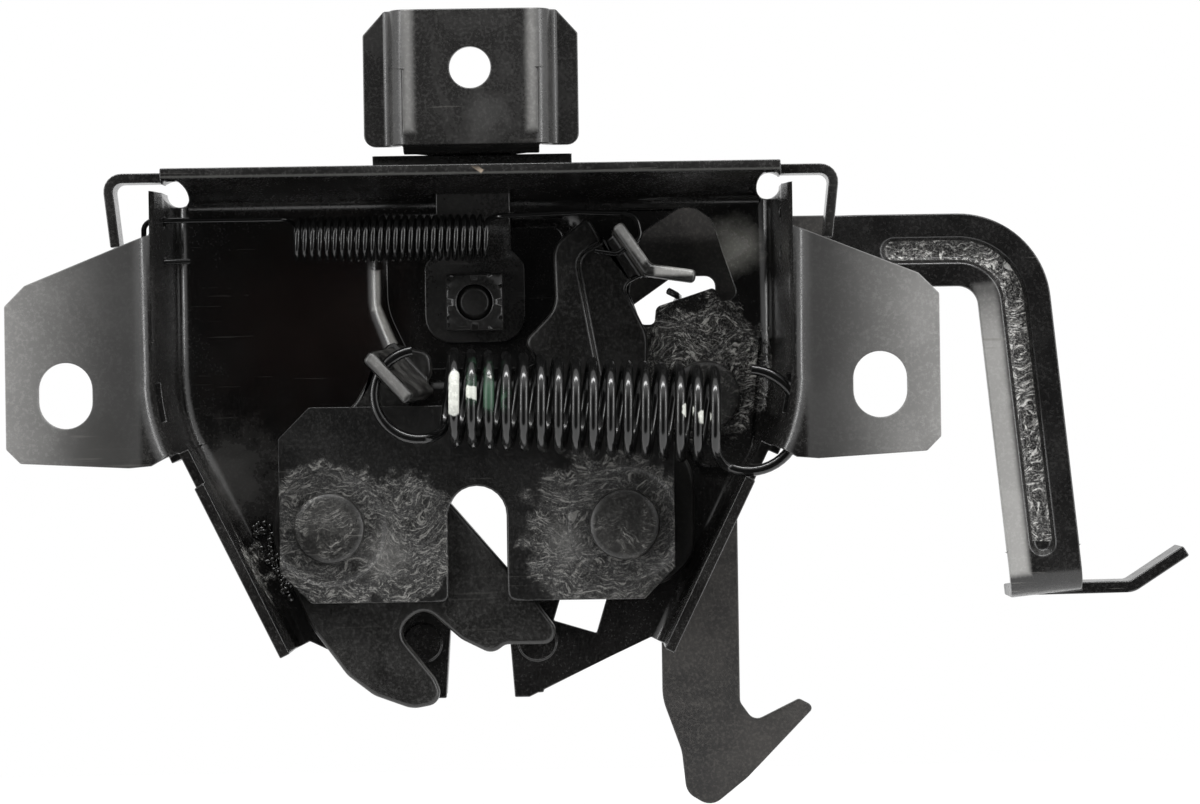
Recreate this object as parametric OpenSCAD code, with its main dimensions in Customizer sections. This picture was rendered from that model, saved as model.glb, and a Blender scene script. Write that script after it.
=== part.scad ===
// Bonnet latch: a pressed-steel pan that carries a spring-loaded fork, a pawl and a safety hook.
// X runs to the right, Y away from the viewer and Z up. The origin lies midway between the two
// fixing slots, on the rear face of the wings.

/* [Sheet] */
// Thickness of the pan's sheet
sheet = 1.8; // [1.5:0.1:2.2]
// Inner radius of the pan's folds
fold_r = 2.5; // [2.2:0.1:3]
// Thinning of the pan's floor in the press
press_thinning = 0.1; // [0.08:0.01:0.15]
// Flat steps that make up each rounded corner
corner_steps = 6; // [4:1:10]

/* [Pan] */
// Depth of the pan's floor behind the mounting face
pan_depth = 20; // [19.5:0.1:21]
// Half the width of the floor, fold to fold
pan_half_w = 50.5; // [50:0.5:52]
// Height of the fold along the floor's top edge
pan_top = 32.3; // [32:0.1:33]
// Outward lean of the side walls, in degrees
wall_draft = 7.5; // [6:0.5:9]
// Height where the side walls start to turn inward
turn_z = 3.2; // [2.8:0.1:3.6]
// Radius of that turn at the floor's fold
turn_r = 30; // [29:0.5:31]
// Lean of the lower side walls, in degrees
slant = 26; // [25:0.5:27]
// Length of the straight lower side walls
slant_len = 37.3; // [35:0.1:38]
// Outward lean of the lower side walls, in degrees
lower_draft = 0.5; // [0.5:0.5:4]
// Depth at which the lower side walls end in front
lower_wall_front = 1; // [0.5:0.1:2]
// Height of the side walls' top ends
wall_top = 34; // [33.6:0.1:34.4]
// Height of the top flange's lower face at its front edge
flange_front_z = 36; // [35.5:0.1:36.5]
// Reach of the top flange beyond the floor's side folds
flange_over = 1.3; // [0.5:0.1:1.7]
// Radius of the relief holes at the pan's upper corners
relief_r = 2; // [1.8:0.1:2.4]
// Height of the floor's lowest edge
pan_bottom = -52.5; // [-53.5:0.1:-52]

/* [Wings] */
// Distance between the two fixing slots
slot_spacing = 135.6; // [134:0.1:137]
// Width of a fixing slot
slot_w = 9; // [8.5:0.1:9.5]
// Height of a fixing slot
slot_h = 11; // [10.5:0.1:12]
// Distance from a fixing slot's middle to the wing's end
wing_end = 10; // [9:0.1:12]
// Height of the wings' top edge at the fold
wing_top = 26.7; // [26:0.1:27.5]
// Fall of the wings' top edge, in degrees
wing_fall = 21.5; // [20:0.5:23]
// Height of the wings' lower edge
wing_bottom = -12.2; // [-13:0.1:-11.5]
// Size of the chamfers on the wings' corners
wing_chamfer = 3.4; // [2:0.1:4]

/* [Straps] */
// Thickness of the two side straps
strap_t = 1.6; // [1.2:0.1:2]
// Reach of a strap's outer face beyond the floor's side fold
strap_out = 11.2; // [10:0.1:12]
// Height of a strap's lower end
strap_end_z = 24.9; // [23:0.1:27]
// Width of a strap, front to back
strap_w = 8; // [6:0.5:9]
// Distance of the straps behind the mounting face
strap_y = 3.5; // [3:0.1:4.5]

/* [Striker slot] */
// Width of the striker slot
striker_w = 10; // [9:0.1:11]
// Height of the slot's closed end
striker_top = -16.2; // [-17:0.1:-15.5]
// Height where the slot's lips begin
lip_top = -40.5; // [-42:0.1:-40]
// Outward lean of the lips, in degrees
lip_flare = 4; // [2:0.5:9]
// Depth of the lips behind the floor's front face
lip_depth = 6; // [5:0.1:7]

/* [Channel and window] */
// Half the width of the channel pressed into the floor
channel_half = 17.3; // [17:0.1:18]
// Depth of that channel
channel_depth = 3.2; // [3:0.1:3.6]
// Height of the channel's upper rim
channel_top = 30; // [29.6:0.1:30.2]
// Height of the channel's lower rim
channel_bottom = 1.5; // [0:0.1:3]
// Height of the pad under the safety lever's rivet
pad_rise = 1; // [0.6:0.1:1.2]
// Side of the square tooling hole
tooling_hole = 7.6; // [6:0.1:8.5]
// Turn of the tooling hole, in degrees
tooling_turn = 17; // [10:1:24]
// Radius of the two round rubbing dimples
dimple_r = 3.3; // [2.5:0.1:3.6]
// Height of those dimples
dimple_rise = 0.3; // [0.2:0.05:0.35]

/* [Pivots] */
// Distance from the middle to the fork's pivot and to the pawl's
pivot_x = 25; // [24.8:0.1:25.4]
// Height of those two pivots
pivot_z = -23; // [-23.4:0.1:-22.8]
// Distance from the middle to the safety lever's pivot
safety_x = 39; // [38.6:0.1:39.6]
// Height of the safety lever's pivot
safety_z = -1.5; // [-2:0.1:-1]
// Radius of the rivets' shanks
rivet_r = 4; // [3.6:0.1:4.2]
// Radius of the rivets' heads
rivet_head_r = 6; // [5.6:0.1:6.2]
// Height of the rivets' heads
rivet_head_h = 2.2; // [1.8:0.1:2.4]
// Wall of the bushes on the rivets
bush_wall = 1.5; // [1.2:0.1:1.7]
// Running clearance of what turns on the bushes
running_gap = 0.3; // [0.25:0.05:0.4]
// Clearance between fixed pieces that fit together
fit_gap = 0.05; // [0.02:0.01:0.1]

/* [Levers] */
// Thickness of the fork
fork_t = 4.3; // [4:0.1:4.4]
// Clearance in front of the fork and the pawl, to the front plate
layer_gap = 0.3; // [0.3:0.05:0.4]
// Thickness of the pawl without its raised band
pawl_t = 3; // [2.6:0.1:3.2]
// Thickness of the fork's spring lug
fork_lug_t = 2.2; // [1.8:0.1:2.4]
// Thickness of the pawl's release lug
pawl_lug_t = 2.1; // [1.8:0.1:2.4]
// Thickness of the safety hook
hook_t = 2.3; // [2:0.1:2.6]
// Gap between the pan's floor and the safety hook
hook_gap = 2.8; // [2.6:0.1:3.2]

/* [Front plate] */
// Half the width of the front plate
plate_half_w = 33.5; // [32:0.1:34]
// Height of the front plate's upper edge
plate_top = -2.5; // [-3:0.1:-2.2]
// Height of the front plate's lower edge
plate_bottom = -35.7; // [-37:0.1:-35]
// Thickness of the front plate
plate_t = 2; // [1.8:0.1:2.2]
// Depth of the round seats under the rivet heads
seat_depth = 0.8; // [0.5:0.1:0.9]
// Radius of those seats
seat_r = 8.6; // [8:0.1:9]
// Size of the front plate's corner chamfers
plate_chamfer = 5.3; // [4:0.1:6.5]

/* [Top bracket] */
// Thickness of the top bracket
bracket_t = 2; // [1.8:0.1:2]
// Depth of the bracket's face behind the mounting face
bracket_y = 8; // [7:0.1:8.5]
// Height of the bracket's top edge
bracket_top = 64.3; // [62:0.1:66]
// Height where the bracket's side flanges end below
bracket_wing_z = 41.4; // [41:0.1:43]
// Half the width of the bracket's raised face
bracket_face_half = 12.9; // [12:0.1:14]
// Half the width over the bracket's side flanges
bracket_half = 18.2; // [17.5:0.1:19.5]
// Depth of the bracket's hat section
bracket_hat = 4.6; // [4:0.1:5]
// Radius of the bracket's bolt hole
bracket_hole_r = 3.5; // [3.2:0.05:3.8]
// Height of that hole
bracket_hole_z = 54.4; // [53:0.1:56]
// Half the width of the bracket's shoulders above the flange
shoulder_half = 16.9; // [16:0.1:17.5]
// Half the width of the bracket's neck
neck_half = 6.3; // [5.5:0.1:6.4]
// Half the width of the bracket's foot
foot_half = 8.6; // [7.5:0.1:9]
// Height of the bracket's lowest edge
foot_bottom = 8.2; // [7:0.1:8.8]

/* [Nut and bolt] */
// Side of the square nut
nut_side = 9.7; // [9:0.1:9.8]
// Thickness of the square nut
nut_t = 5; // [4:0.1:5.2]
// Height of the nut and bolt
nut_z = 15; // [14.6:0.1:15.4]
// Radius of the bolt
bolt_r = 3; // [2.8:0.1:3.2]
// Width of the bolt's hexagon head across its flats
bolt_flats = 10; // [9:0.5:11]

/* [Fork spring] */
// Radius of the fork spring's wire
fork_wire_r = 0.9; // [0.8:0.05:1]
// Mean radius of its coil
fork_coil_r = 7.45; // [7.2:0.05:7.6]
// Distance between its turns
fork_pitch = 2.9; // [2.8:0.02:2.92]
// Number of its turns
fork_turns = 16; // [14:1:16]
// Depth of its axis behind the mounting face
fork_coil_y = 3.2; // [3:0.1:3.3]

/* [Pawl spring] */
// Radius of the pawl spring's wire
pawl_wire_r = 0.47; // [0.4:0.01:0.5]
// Mean radius of its coil
pawl_coil_r = 3.53; // [3.3:0.01:3.6]
// Distance between its turns
pawl_pitch = 1.27; // [1.2:0.01:1.28]
// Number of its turns
pawl_turns = 26; // [20:1:26]
// Depth of its axis behind the mounting face
pawl_coil_y = 9.5; // [9:0.1:10]

/* [Safety spring] */
// Radius of the safety spring's wire
safety_wire_r = 0.6; // [0.5:0.05:0.7]
// Number of its turns
safety_turns = 2.25; // [2.25:1:3.25]

/* [Handle] */
// Thickness of the release handle
handle_t = 2; // [1.8:0.1:2.3]
// Width of the handle's strip
handle_w = 12.5; // [11.5:0.1:13]
// Height of the handle's upper edge
handle_top = 29.2; // [28.5:0.1:29.6]
// Distance from the middle to the centre of the handle's bend
handle_bend_x = 82.9; // [81:0.1:86]
// Outer radius of the handle's bend
handle_bend_r = 16; // [15:0.1:18]
// Lean of the handle's leg, in degrees
handle_lean = 5.8; // [4:0.1:8]
// Length of the handle's leg below the centre of its bend
leg_len = 51; // [45:0.5:55]
// Depth of the groove that stiffens the handle
groove_depth = 1.3; // [0.8:0.1:1.5]
// Half the width of that groove in front
groove_half = 2.3; // [1.8:0.1:2.8]
// Depth of the handle's finger tab, front to back
tab_depth = 17; // [12:0.5:20]
// Fall of the finger tab beside the leg
tab_dip = 1.6; // [0:0.1:3]
// Length of the finger tab past the handle's edge
tab_len = 9; // [6:0.5:12]
// Length of the tab's raised end
tab_end = 11.5; // [8:0.5:14]
// Rise of the tab's end, in degrees
tab_rise = 27; // [15:1:40]

/* [Hidden] */
$fn = 64;
far = 300;
black = "#1a1a1c";
matte = "#26221f";
steel = "#3a3a3c";

// Layers from front to back
floor_back = pan_depth + sheet;
fork_back = pan_depth - dimple_rise - running_gap;
fork_front = fork_back - fork_t;
seat_back = fork_front - layer_gap;
plate_front = seat_back - plate_t - seat_depth;
seat_front = seat_back - plate_t;
pawl_front = fork_back - pawl_t;
pad_front = pan_depth - pad_rise;
pad_back = pad_front + sheet;
hook_front = floor_back + hook_gap;
hook_back = hook_front + hook_t;
channel_floor = pan_depth + channel_depth;
foot_front = channel_floor - bracket_t;
neck_front = 15;
washer_t = 1;
bush_r = rivet_r + bush_wall;
safety_coil_r = bush_r + safety_wire_r + 0.6;
safety_pitch = 2 * safety_wire_r + 0.15;
safety_coil_y = hook_back + running_gap + safety_wire_r;
washer_front = safety_coil_y + safety_turns * safety_pitch + safety_wire_r + running_gap;

// Corner rounding of an outline whose points are [across, along, radius]
function unit(v) = v / norm(v);
function left_of(v) = [-v[1], v[0]];
function spot(p) = [p[0], p[1]];
function fillet(a, b, c, r) =
    let (
        u = unit(a - b),
        w = unit(c - b),
        half = acos(max(-1, min(1, u * w))) / 2
    )
    r <= 0 || half > 89.9 ? [b] :
    let (
        middle = b + unit(u + w) * r / sin(half),
        from = b + u * r / tan(half) - middle,
        to = b + w * r / tan(half) - middle,
        start = atan2(from[1], from[0]),
        turn = atan2(from[0] * to[1] - from[1] * to[0], from * to)
    )
    [for (i = [0:corner_steps])
        let (a = start + turn * i / corner_steps)
        middle + r * [cos(a), sin(a)]];
function rounded(p) =
    let (n = len(p))
    [for (i = [0:n - 1])
        each fillet(spot(p[(i + n - 1) % n]), spot(p[i]), spot(p[(i + 1) % n]), p[i][2])];

// Outline of a bent sheet: one face follows the path, the other lies to its left
function bent(p) =
    let (n = len(p))
    [for (i = [0:n - 1])
        each (i == 0 || i == n - 1
            ? [spot(p[i])]
            : fillet(spot(p[i - 1]), spot(p[i]), spot(p[i + 1]), p[i][2]))];
function shifted(p, t) =
    let (n = len(p))
    [for (i = [0:n - 1])
        let (
            before = max(i, 1),
            after = min(i, n - 2),
            d1 = unit(spot(p[before]) - spot(p[before - 1])),
            d2 = unit(spot(p[after + 1]) - spot(p[after])),
            n1 = left_of(d1),
            n2 = left_of(d2),
            q = spot(p[i]) + t * (n1 + n2) / (1 + n1 * n2),
            turn = d1[0] * d2[1] - d1[1] * d2[0]
        )
        [q[0], q[1], is_undef(p[i][2]) ? 0 : max(0, p[i][2] - sign(turn) * t)]];
function backward(list) = [for (i = [len(list) - 1:-1:0]) list[i]];
function sheet_outline(p, t) = concat(bent(p), backward(bent(shifted(p, t))));

// A flat plate seen from the front, from depth y to y + t
module plate(y, t) {
    translate([0, y + t, 0])
        rotate([90, 0, 0])
            linear_extrude(t)
                children();
}

// A side profile, drawn as depth and height, drawn out along X
module along_x(x, length) {
    translate([x, 0, 0])
        rotate([90, 0, 90])
            linear_extrude(length)
                children();
}

// A round hole or pin along Y
module round_y(x, z, y, length, r) {
    translate([x, y, z])
        rotate([-90, 0, 0])
            cylinder(h = length, r = r);
}

// A turned piece along Y, from a profile of radius and depth
module turned(x, z, profile) {
    translate([x, 0, z])
        rotate([-90, 0, 0])
            rotate_extrude()
                polygon(profile);
}

// The same thing on the right and on the left
module both_sides() {
    children();
    mirror([1, 0, 0])
        children();
}

// A skin over rings of points, and a wire along a path with frames carried along it
function carried(n, t) = unit(n - (n * t) * t);
function tangent(p, i) = unit(p[min(i + 1, len(p) - 1)] - p[max(i - 1, 0)]);
function normals(p, first) =
    [for (i = 0, n = carried(first, tangent(p, 0));
        i < len(p);
        i = i + 1, n = i < len(p) ? carried(n, tangent(p, i)) : n) n];
module skin(rings) {
    sides = len(rings[0]);
    last = (len(rings) - 1) * sides;
    walls = [for (i = [0:sides:last - sides])
        for (k = [0:sides - 1])
            let (m = (k + 1) % sides)
            [i + k, i + sides + k, i + sides + m, i + m]];
    first_cap = [for (k = [0:sides - 1]) k];
    last_cap = [for (k = [sides - 1:-1:0]) last + k];
    polyhedron([for (ring = rings) each ring], concat([first_cap, last_cap], walls));
}
module wire(path, r, sides, first) {
    frames = normals(path, first);
    skin([for (i = [0:len(path) - 1])
        let (side = cross(tangent(path, i), frames[i]))
        [for (k = [0:sides - 1])
            let (a = 360 * k / sides)
            path[i] + r * (cos(a) * frames[i] + sin(a) * side)]]);
}
function between(p0, d0, p1, d1, steps) =
    [for (i = [1:steps - 1])
        let (s = i / steps)
        (2 * s ^ 3 - 3 * s ^ 2 + 1) * p0 + (s ^ 3 - 2 * s ^ 2 + s) * d0
        + (3 * s ^ 2 - 2 * s ^ 3) * p1 + (s ^ 3 - s ^ 2) * d1];
function helix(start, axis, down, out, r, pitch, from, to, steps) =
    let (n = ceil((to - from) / 360 * steps))
    [for (i = [0:n])
        let (a = from + (to - from) * i / n)
        start + axis * pitch * a / 360 + r * (down * cos(a) + out * sin(a))];
function helix_way(axis, down, out, r, pitch, a) =
    unit(axis * pitch / 360 + r * PI / 180 * (out * cos(a) - down * sin(a)));
function arc_xz(x, y, z, r, from, to, steps) =
    [for (i = [0:steps])
        let (a = from + (to - from) * i / steps)
        [x + r * cos(a), y, z + r * sin(a)]];

// Pan
turn_x = pan_half_w - turn_r;
flange_half = pan_half_w + flange_over;
wing_half = slot_spacing / 2 + wing_end;
strap_x = pan_half_w + strap_out;
strap_z = flange_front_z - 0.5;
fold_start = fold_r;
tuck = 0.64 * fold_r;
lean = tan(wall_draft);
wing_fold_x = pan_half_w + (pan_depth + sheet) * lean;
wall_foot = [[pan_half_w - fold_start, pan_depth, 0], [pan_half_w, pan_depth, fold_r]];
upper_path = concat(wall_foot, [[wing_fold_x, -sheet, fold_r + sheet], [wing_half + 10, -sheet, 0]]);
lower_path = concat(
    wall_foot,
    [[pan_half_w + (pan_depth - lower_wall_front) * tan(lower_draft), lower_wall_front, 0]]);
wing_outline = [
    [0, wing_top + 20],
    [wing_fold_x + 0.3, wing_top + 20],
    [wing_fold_x + 0.3, wing_top],
    [wing_half - wing_chamfer, wing_top - (wing_half - wing_chamfer - wing_fold_x) * tan(wing_fall)],
    [wing_half, wing_top - (wing_half - wing_chamfer - wing_fold_x) * tan(wing_fall) - wing_chamfer],
    [wing_half, wing_bottom + wing_chamfer],
    [wing_half - wing_chamfer * 0.7, wing_bottom + 1],
    [wing_fold_x + 4, wing_bottom],
    [wing_fold_x - 3.4, wing_bottom + 0.6],
    [wing_fold_x - 3.4, wing_bottom - 40],
    [0, wing_bottom - 40]
];
module about_turn(angle) {
    translate([turn_x, 0, turn_z])
        rotate([0, angle, 0])
            translate([-turn_x, 0, 0])
                children();
}
module side_wall() {
    intersection() {
        union() {
            translate([0, 0, turn_z])
                linear_extrude(wall_top - turn_z)
                    polygon(sheet_outline(upper_path, sheet));
            translate([turn_x, 0, turn_z])
                rotate([-90, 0, 0])
                    rotate_extrude(angle = slant)
                        translate([-turn_x, 0])
                            polygon(sheet_outline(upper_path, sheet));
        }
        plate(-far / 2, far)
            polygon(wing_outline);
    }
    about_turn(slant)
        translate([press_thinning / 2, press_thinning / 3, -slant_len])
            linear_extrude(slant_len + 1)
                polygon(sheet_outline(lower_path, sheet));
}
function at_turn(r, angle, along) = [
    turn_x + r * cos(angle) - along * sin(angle),
    turn_z - r * sin(angle) - along * cos(angle)
];
mouth_half = striker_w / 2 + (lip_top - pan_bottom) * tan(lip_flare);
floor_right = [
    [pan_half_w - tuck, pan_top - tuck],
    [pan_half_w - tuck, turn_z + 2],
    at_turn(turn_r - tuck, 0.35 * slant, 0),
    at_turn(turn_r - tuck, 0.75 * slant, 0),
    at_turn(turn_r - tuck, slant, 2),
    at_turn(turn_r - tuck, slant, slant_len - 1),
    [mouth_half + 2.5, pan_bottom]
];
slot_right = [
    [0, pan_bottom - 10],
    [mouth_half + 10 * tan(lip_flare), pan_bottom - 10],
    [striker_w / 2, lip_top],
    [striker_w / 2, striker_top - striker_w / 2],
    [0, striker_top - striker_w / 2]
];
window = [
    [26.4, 16.4, 1.5], [28.6, 26.4, 4], [36.6, 31.6, 4], [40.6, 28.6, 2], [44.8, 15.6, 1.3],
    [42.2, 14.2, 1.3], [40.9, 17, 0.8], [30.9, 13.8, 1.2], [30.6, 10.8, 0.9], [28.4, 10.8, 0.9]
];
function channel(inset) = rounded([
    [-channel_half + inset, channel_top - inset, 2],
    [channel_half - inset, channel_top - inset, 2],
    [channel_half - inset, 14, 12],
    [12.5 - inset, channel_bottom + inset, 4],
    [-12.5 + inset, channel_bottom + inset, 4],
    [-channel_half + inset, 14, 12]
]);
module pressed(y1, inset1, y2, inset2) {
    hull() {
        plate(y1, 0.01)
            polygon(channel(inset1));
        plate(y2 - 0.01, 0.01)
            polygon(channel(inset2));
    }
}
module channel_void() {
    pressed(pan_depth - 0.5, -0.3, channel_floor, 2.2);
}
module channel_shell() {
    pressed(pan_depth + 0.2, -1.3, channel_floor + sheet, 1.2);
}
module lip() {
    path = [
        [striker_w / 2, pan_depth + lip_depth, 0],
        [striker_w / 2, pan_depth, fold_r + 0.7],
        [striker_w / 2 + 5, pan_depth, 0]
    ];
    translate([striker_w / 2, 0, lip_top])
        rotate([0, -lip_flare, 0])
            translate([-striker_w / 2, 0, pan_bottom - lip_top + 0.4])
                linear_extrude(lip_top - pan_bottom - 0.4)
                    polygon(sheet_outline(path, sheet));
}
module strap() {
    path = [
        [pan_half_w - 3, strap_z, 0],
        [strap_x - strap_t, strap_z, 1.4],
        [strap_x - strap_t - 1.2, strap_end_z, 0]
    ];
    plate(strap_y, strap_w)
        polygon(sheet_outline(path, strap_t));
}
module top_flange() {
    path = [[0, flange_front_z, 0], [pan_depth, pan_top, fold_r], [pan_depth, pan_top - fold_start, 0]];
    difference() {
        along_x(-flange_half, 2 * flange_half)
            polygon(sheet_outline(path, sheet));
        both_sides()
            translate([pan_half_w - 1.6, pan_depth / 2, 0])
                cube([20, far, far]);
        translate([-neck_half - 0.5, neck_front - 0.5, pan_top - 4])
            cube([2 * neck_half + 1, bracket_t + 1, 12]);
    }
    intersection() {
        along_x(-flange_half, 2 * flange_half)
            polygon(sheet_outline(path, sheet));
        translate([-far / 2, -1, 0])
            cube([far, pan_depth / 2, far]);
    }
}
safety_pad = [
    [safety_x - 5.8, safety_z + 9.8, 4], [pan_half_w - 2, safety_z + 9.8, 0],
    [pan_half_w - 4, safety_z - 12, 0], [safety_x - 1, safety_z - 12, 3], [safety_x - 5.8, safety_z - 5, 4]
];
module hook_hole(angle, front) {
    translate([turn_x, 0, turn_z])
        rotate([0, angle, 0])
            translate([turn_r - 2, front, -3.4])
                cube([9, fork_coil_y + 1.9 - front, 6.8]);
}
module base_plate() {
    color(black)
        difference() {
            union() {
                both_sides() {
                    side_wall();
                    strap();
                    lip();
                }
                top_flange();
                difference() {
                    plate(pan_depth, sheet - press_thinning)
                        polygon(concat(floor_right, backward([for (p = floor_right) [-p[0], p[1]]])));
                    plate(0, far)
                        both_sides()
                            polygon(slot_right);
                }
                channel_shell();
                plate(pad_front, pad_rise + 0.5)
                    polygon(rounded(safety_pad));
                both_sides()
                    round_y(9.8, -43, pan_depth - dimple_rise, dimple_rise + 0.5, dimple_r);
            }
            channel_void();
            round_y(0, striker_top - striker_w / 2, 0, far, striker_w / 2);
            plate(0, far)
                polygon(rounded(window));
            translate([17.4, 0, -37])
                rotate([0, tooling_turn, 0])
                    translate([-tooling_hole / 2, 0, -tooling_hole / 2])
                        cube([tooling_hole, far, tooling_hole]);
            plate(pad_back, 10)
                translate([safety_x, safety_z])
                    circle(rivet_head_r + 3.4);
            both_sides() {
                translate([slot_spacing / 2, -far / 2, 0])
                    rotate([-90, 0, 0])
                        linear_extrude(far / 2 + 2) {
                            square([slot_w, slot_h - slot_w], center = true);
                            for (s = [-1, 1])
                                translate([0, s * (slot_h - slot_w) / 2])
                                    circle(slot_w / 2);
                        }
                round_y(pan_half_w - 0.35, pan_top + 1.65, 2, far, relief_r);
                round_y(pivot_x, pivot_z, 0, far, rivet_r + fit_gap);
                hook_hole(8, fork_coil_y - 1.9);
                hook_hole(29.8, -5);
                for (z = pawl_anchor_z)
                    translate([pan_half_w - 2, pawl_coil_y, z])
                        rotate([0, 90, 0])
                            cylinder(h = 8, r = pawl_wire_r + 0.7);
            }
            round_y(safety_x, safety_z, 0, far, rivet_r + fit_gap);
            round_y(0, nut_z, 0, far, bolt_r + fit_gap);
        }
}

// Top bracket with its square nut and bolt
neck_path = [
    [bracket_y, bracket_top - 10, 0], [bracket_y, bracket_wing_z - 0.6, 4],
    [neck_front, bracket_wing_z - 1.8, 2.6], [neck_front, 28, 3],
    [foot_front, 22.5, 3], [foot_front, foot_bottom, 0]
];
face_path = [
    [bracket_y, bracket_top - 10, 0], [bracket_y, bracket_wing_z - 0.6, 4],
    [neck_front - 2.4, bracket_wing_z - 1.4, 0]
];
hat_path = [
    [-bracket_half, bracket_y + bracket_hat, 0],
    [-bracket_face_half - 1, bracket_y + bracket_hat, 1.5],
    [-bracket_face_half, bracket_y, 3.2],
    [bracket_face_half, bracket_y, 3.2],
    [bracket_face_half + 1, bracket_y + bracket_hat, 1.5],
    [bracket_half, bracket_y + bracket_hat, 0]
];
bracket_outline = [
    [-bracket_half, bracket_wing_z, 2], [bracket_half, bracket_wing_z, 2],
    [bracket_half, bracket_top - 4, 0.6], [bracket_half - 3.6, bracket_top, 0.6],
    [-bracket_half + 3.6, bracket_top, 0.6], [-bracket_half, bracket_top - 4, 0.6]
];
shoulder_z = flange_front_z - 0.2;
foot_outline = [
    [-foot_half, foot_bottom, 4.5], [foot_half, foot_bottom, 4.5],
    [foot_half, 21.5, 2], [neck_half, 24, 0], [neck_half, shoulder_z, 0],
    [shoulder_half, shoulder_z, 0], [shoulder_half, bracket_wing_z - 1.5, 0],
    [neck_half, bracket_wing_z - 1.5, 0], [neck_half, bracket_top, 0],
    [-neck_half, bracket_top, 0], [-neck_half, bracket_wing_z - 1.5, 0],
    [-shoulder_half, bracket_wing_z - 1.5, 0], [-shoulder_half, shoulder_z, 0],
    [-neck_half, shoulder_z, 0], [-neck_half, 24, 0], [-foot_half, 21.5, 2]
];
module top_bracket() {
    color(black)
        difference() {
            union() {
                intersection() {
                    translate([0, 0, bracket_wing_z - 2])
                        linear_extrude(30)
                            polygon(sheet_outline(hat_path, bracket_t));
                    plate(0, far)
                        polygon(rounded(bracket_outline));
                }
                along_x(-bracket_face_half + 1.4, 2 * bracket_face_half - 2.8)
                    polygon(sheet_outline(face_path, bracket_t));
                intersection() {
                    along_x(-shoulder_half, 2 * shoulder_half)
                        polygon(sheet_outline(neck_path, bracket_t));
                    plate(0, far)
                        polygon(rounded(foot_outline));
                }
            }
            round_y(0, bracket_hole_z, 0, far, bracket_hole_r);
            round_y(0, nut_z, 0, far, bolt_r + fit_gap);
        }
}
module bracket_nut() {
    color(steel)
        difference() {
            intersection() {
                translate([-nut_side / 2, foot_front - nut_t, nut_z - nut_side / 2])
                    cube([nut_side, nut_t, nut_side]);
                turned(0, nut_z, [
                    [0, foot_front - nut_t], [nut_side * 0.48, foot_front - nut_t],
                    [nut_side, foot_front - nut_t + 2.4], [nut_side, foot_front], [0, foot_front]
                ]);
            }
            round_y(0, nut_z, 0, far, bolt_r + fit_gap);
        }
}
module bracket_bolt() {
    head_y = channel_floor + sheet;
    tip_y = foot_front - nut_t + 0.6;
    color(steel) {
        turned(0, nut_z, [
            [0, tip_y], [bolt_r - 0.7, tip_y], [bolt_r, tip_y + 0.7], [bolt_r, head_y],
            [bolt_flats * 0.62, head_y], [bolt_flats * 0.62, head_y + 1], [0, head_y + 1.6]
        ]);
        translate([0, head_y + 0.8, nut_z])
            rotate([-90, 0, 0])
                cylinder(h = 4.2, r = bolt_flats / sqrt(3), $fn = 6);
    }
}

// Front plate that holds the fork and the pawl
front_outline = [
    [-plate_half_w, plate_top - plate_chamfer, 0.8], [-plate_half_w, plate_bottom + plate_chamfer, 0.8],
    [-plate_half_w + plate_chamfer, plate_bottom, 0.8], [-striker_w / 2, plate_bottom, 1.2],
    [-striker_w / 2, striker_top, striker_w / 2 - 0.01], [striker_w / 2, striker_top, striker_w / 2 - 0.01],
    [striker_w / 2, plate_bottom, 1.6], [plate_half_w - plate_chamfer, plate_bottom, 0.8],
    [plate_half_w, plate_bottom + plate_chamfer, 0.8], [plate_half_w, plate_top - plate_chamfer, 0.8],
    [plate_half_w - plate_chamfer, plate_top, 0.8], [-plate_half_w + plate_chamfer, plate_top, 0.8]
];
module front_plate() {
    ramp = 2.4;
    color(black)
        difference() {
            intersection() {
                plate(0, far)
                    polygon(rounded(front_outline));
                union() {
                    difference() {
                        translate([-far / 2, plate_front, -far / 2])
                            cube([far, plate_t, far]);
                        both_sides()
                            round_y(pivot_x, pivot_z, 0, far, seat_r + ramp / 2);
                    }
                    both_sides()
                        turned(pivot_x, pivot_z, [
                            [0, seat_front], [seat_r, seat_front], [seat_r + ramp, plate_front],
                            [seat_r + ramp + 0.4, plate_front],
                            [seat_r + ramp + 0.4, plate_front + plate_t],
                            [seat_r + ramp, plate_front + plate_t], [seat_r, seat_back], [0, seat_back]
                        ]);
                }
            }
            both_sides()
                round_y(pivot_x, pivot_z, 0, far, rivet_r + fit_gap);
        }
}

// Rivets and the bushes that keep the plates apart
module rivet(x, z, front, back) {
    edge = 0.5;
    color(steel)
        turned(x, z, [
            [0, front - rivet_head_h], [rivet_head_r - 2 * edge, front - rivet_head_h],
            [rivet_head_r - 0.3 * edge, front - rivet_head_h + 0.7 * edge],
            [rivet_head_r, front - rivet_head_h + 2 * edge], [rivet_head_r, front],
            [rivet_r, front], [rivet_r, back], [rivet_head_r, back],
            [rivet_head_r, back + 0.5 * rivet_head_h], [rivet_r, back + rivet_head_h * 0.9],
            [0, back + rivet_head_h * 0.9]
        ]);
}
module bush(x, z, front, back) {
    color(steel)
        difference() {
            round_y(x, z, front, back - front, bush_r);
            round_y(x, z, 0, far, rivet_r + fit_gap);
        }
}
module fork_rivet() rivet(-pivot_x, pivot_z, seat_front, floor_back);
module pawl_rivet() rivet(pivot_x, pivot_z, seat_front, floor_back);
module safety_rivet() rivet(safety_x, safety_z, pad_front, washer_front + washer_t);
module fork_bush() bush(-pivot_x, pivot_z, seat_back, pan_depth);
module pawl_bush() bush(pivot_x, pivot_z, seat_back, pan_depth);
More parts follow.
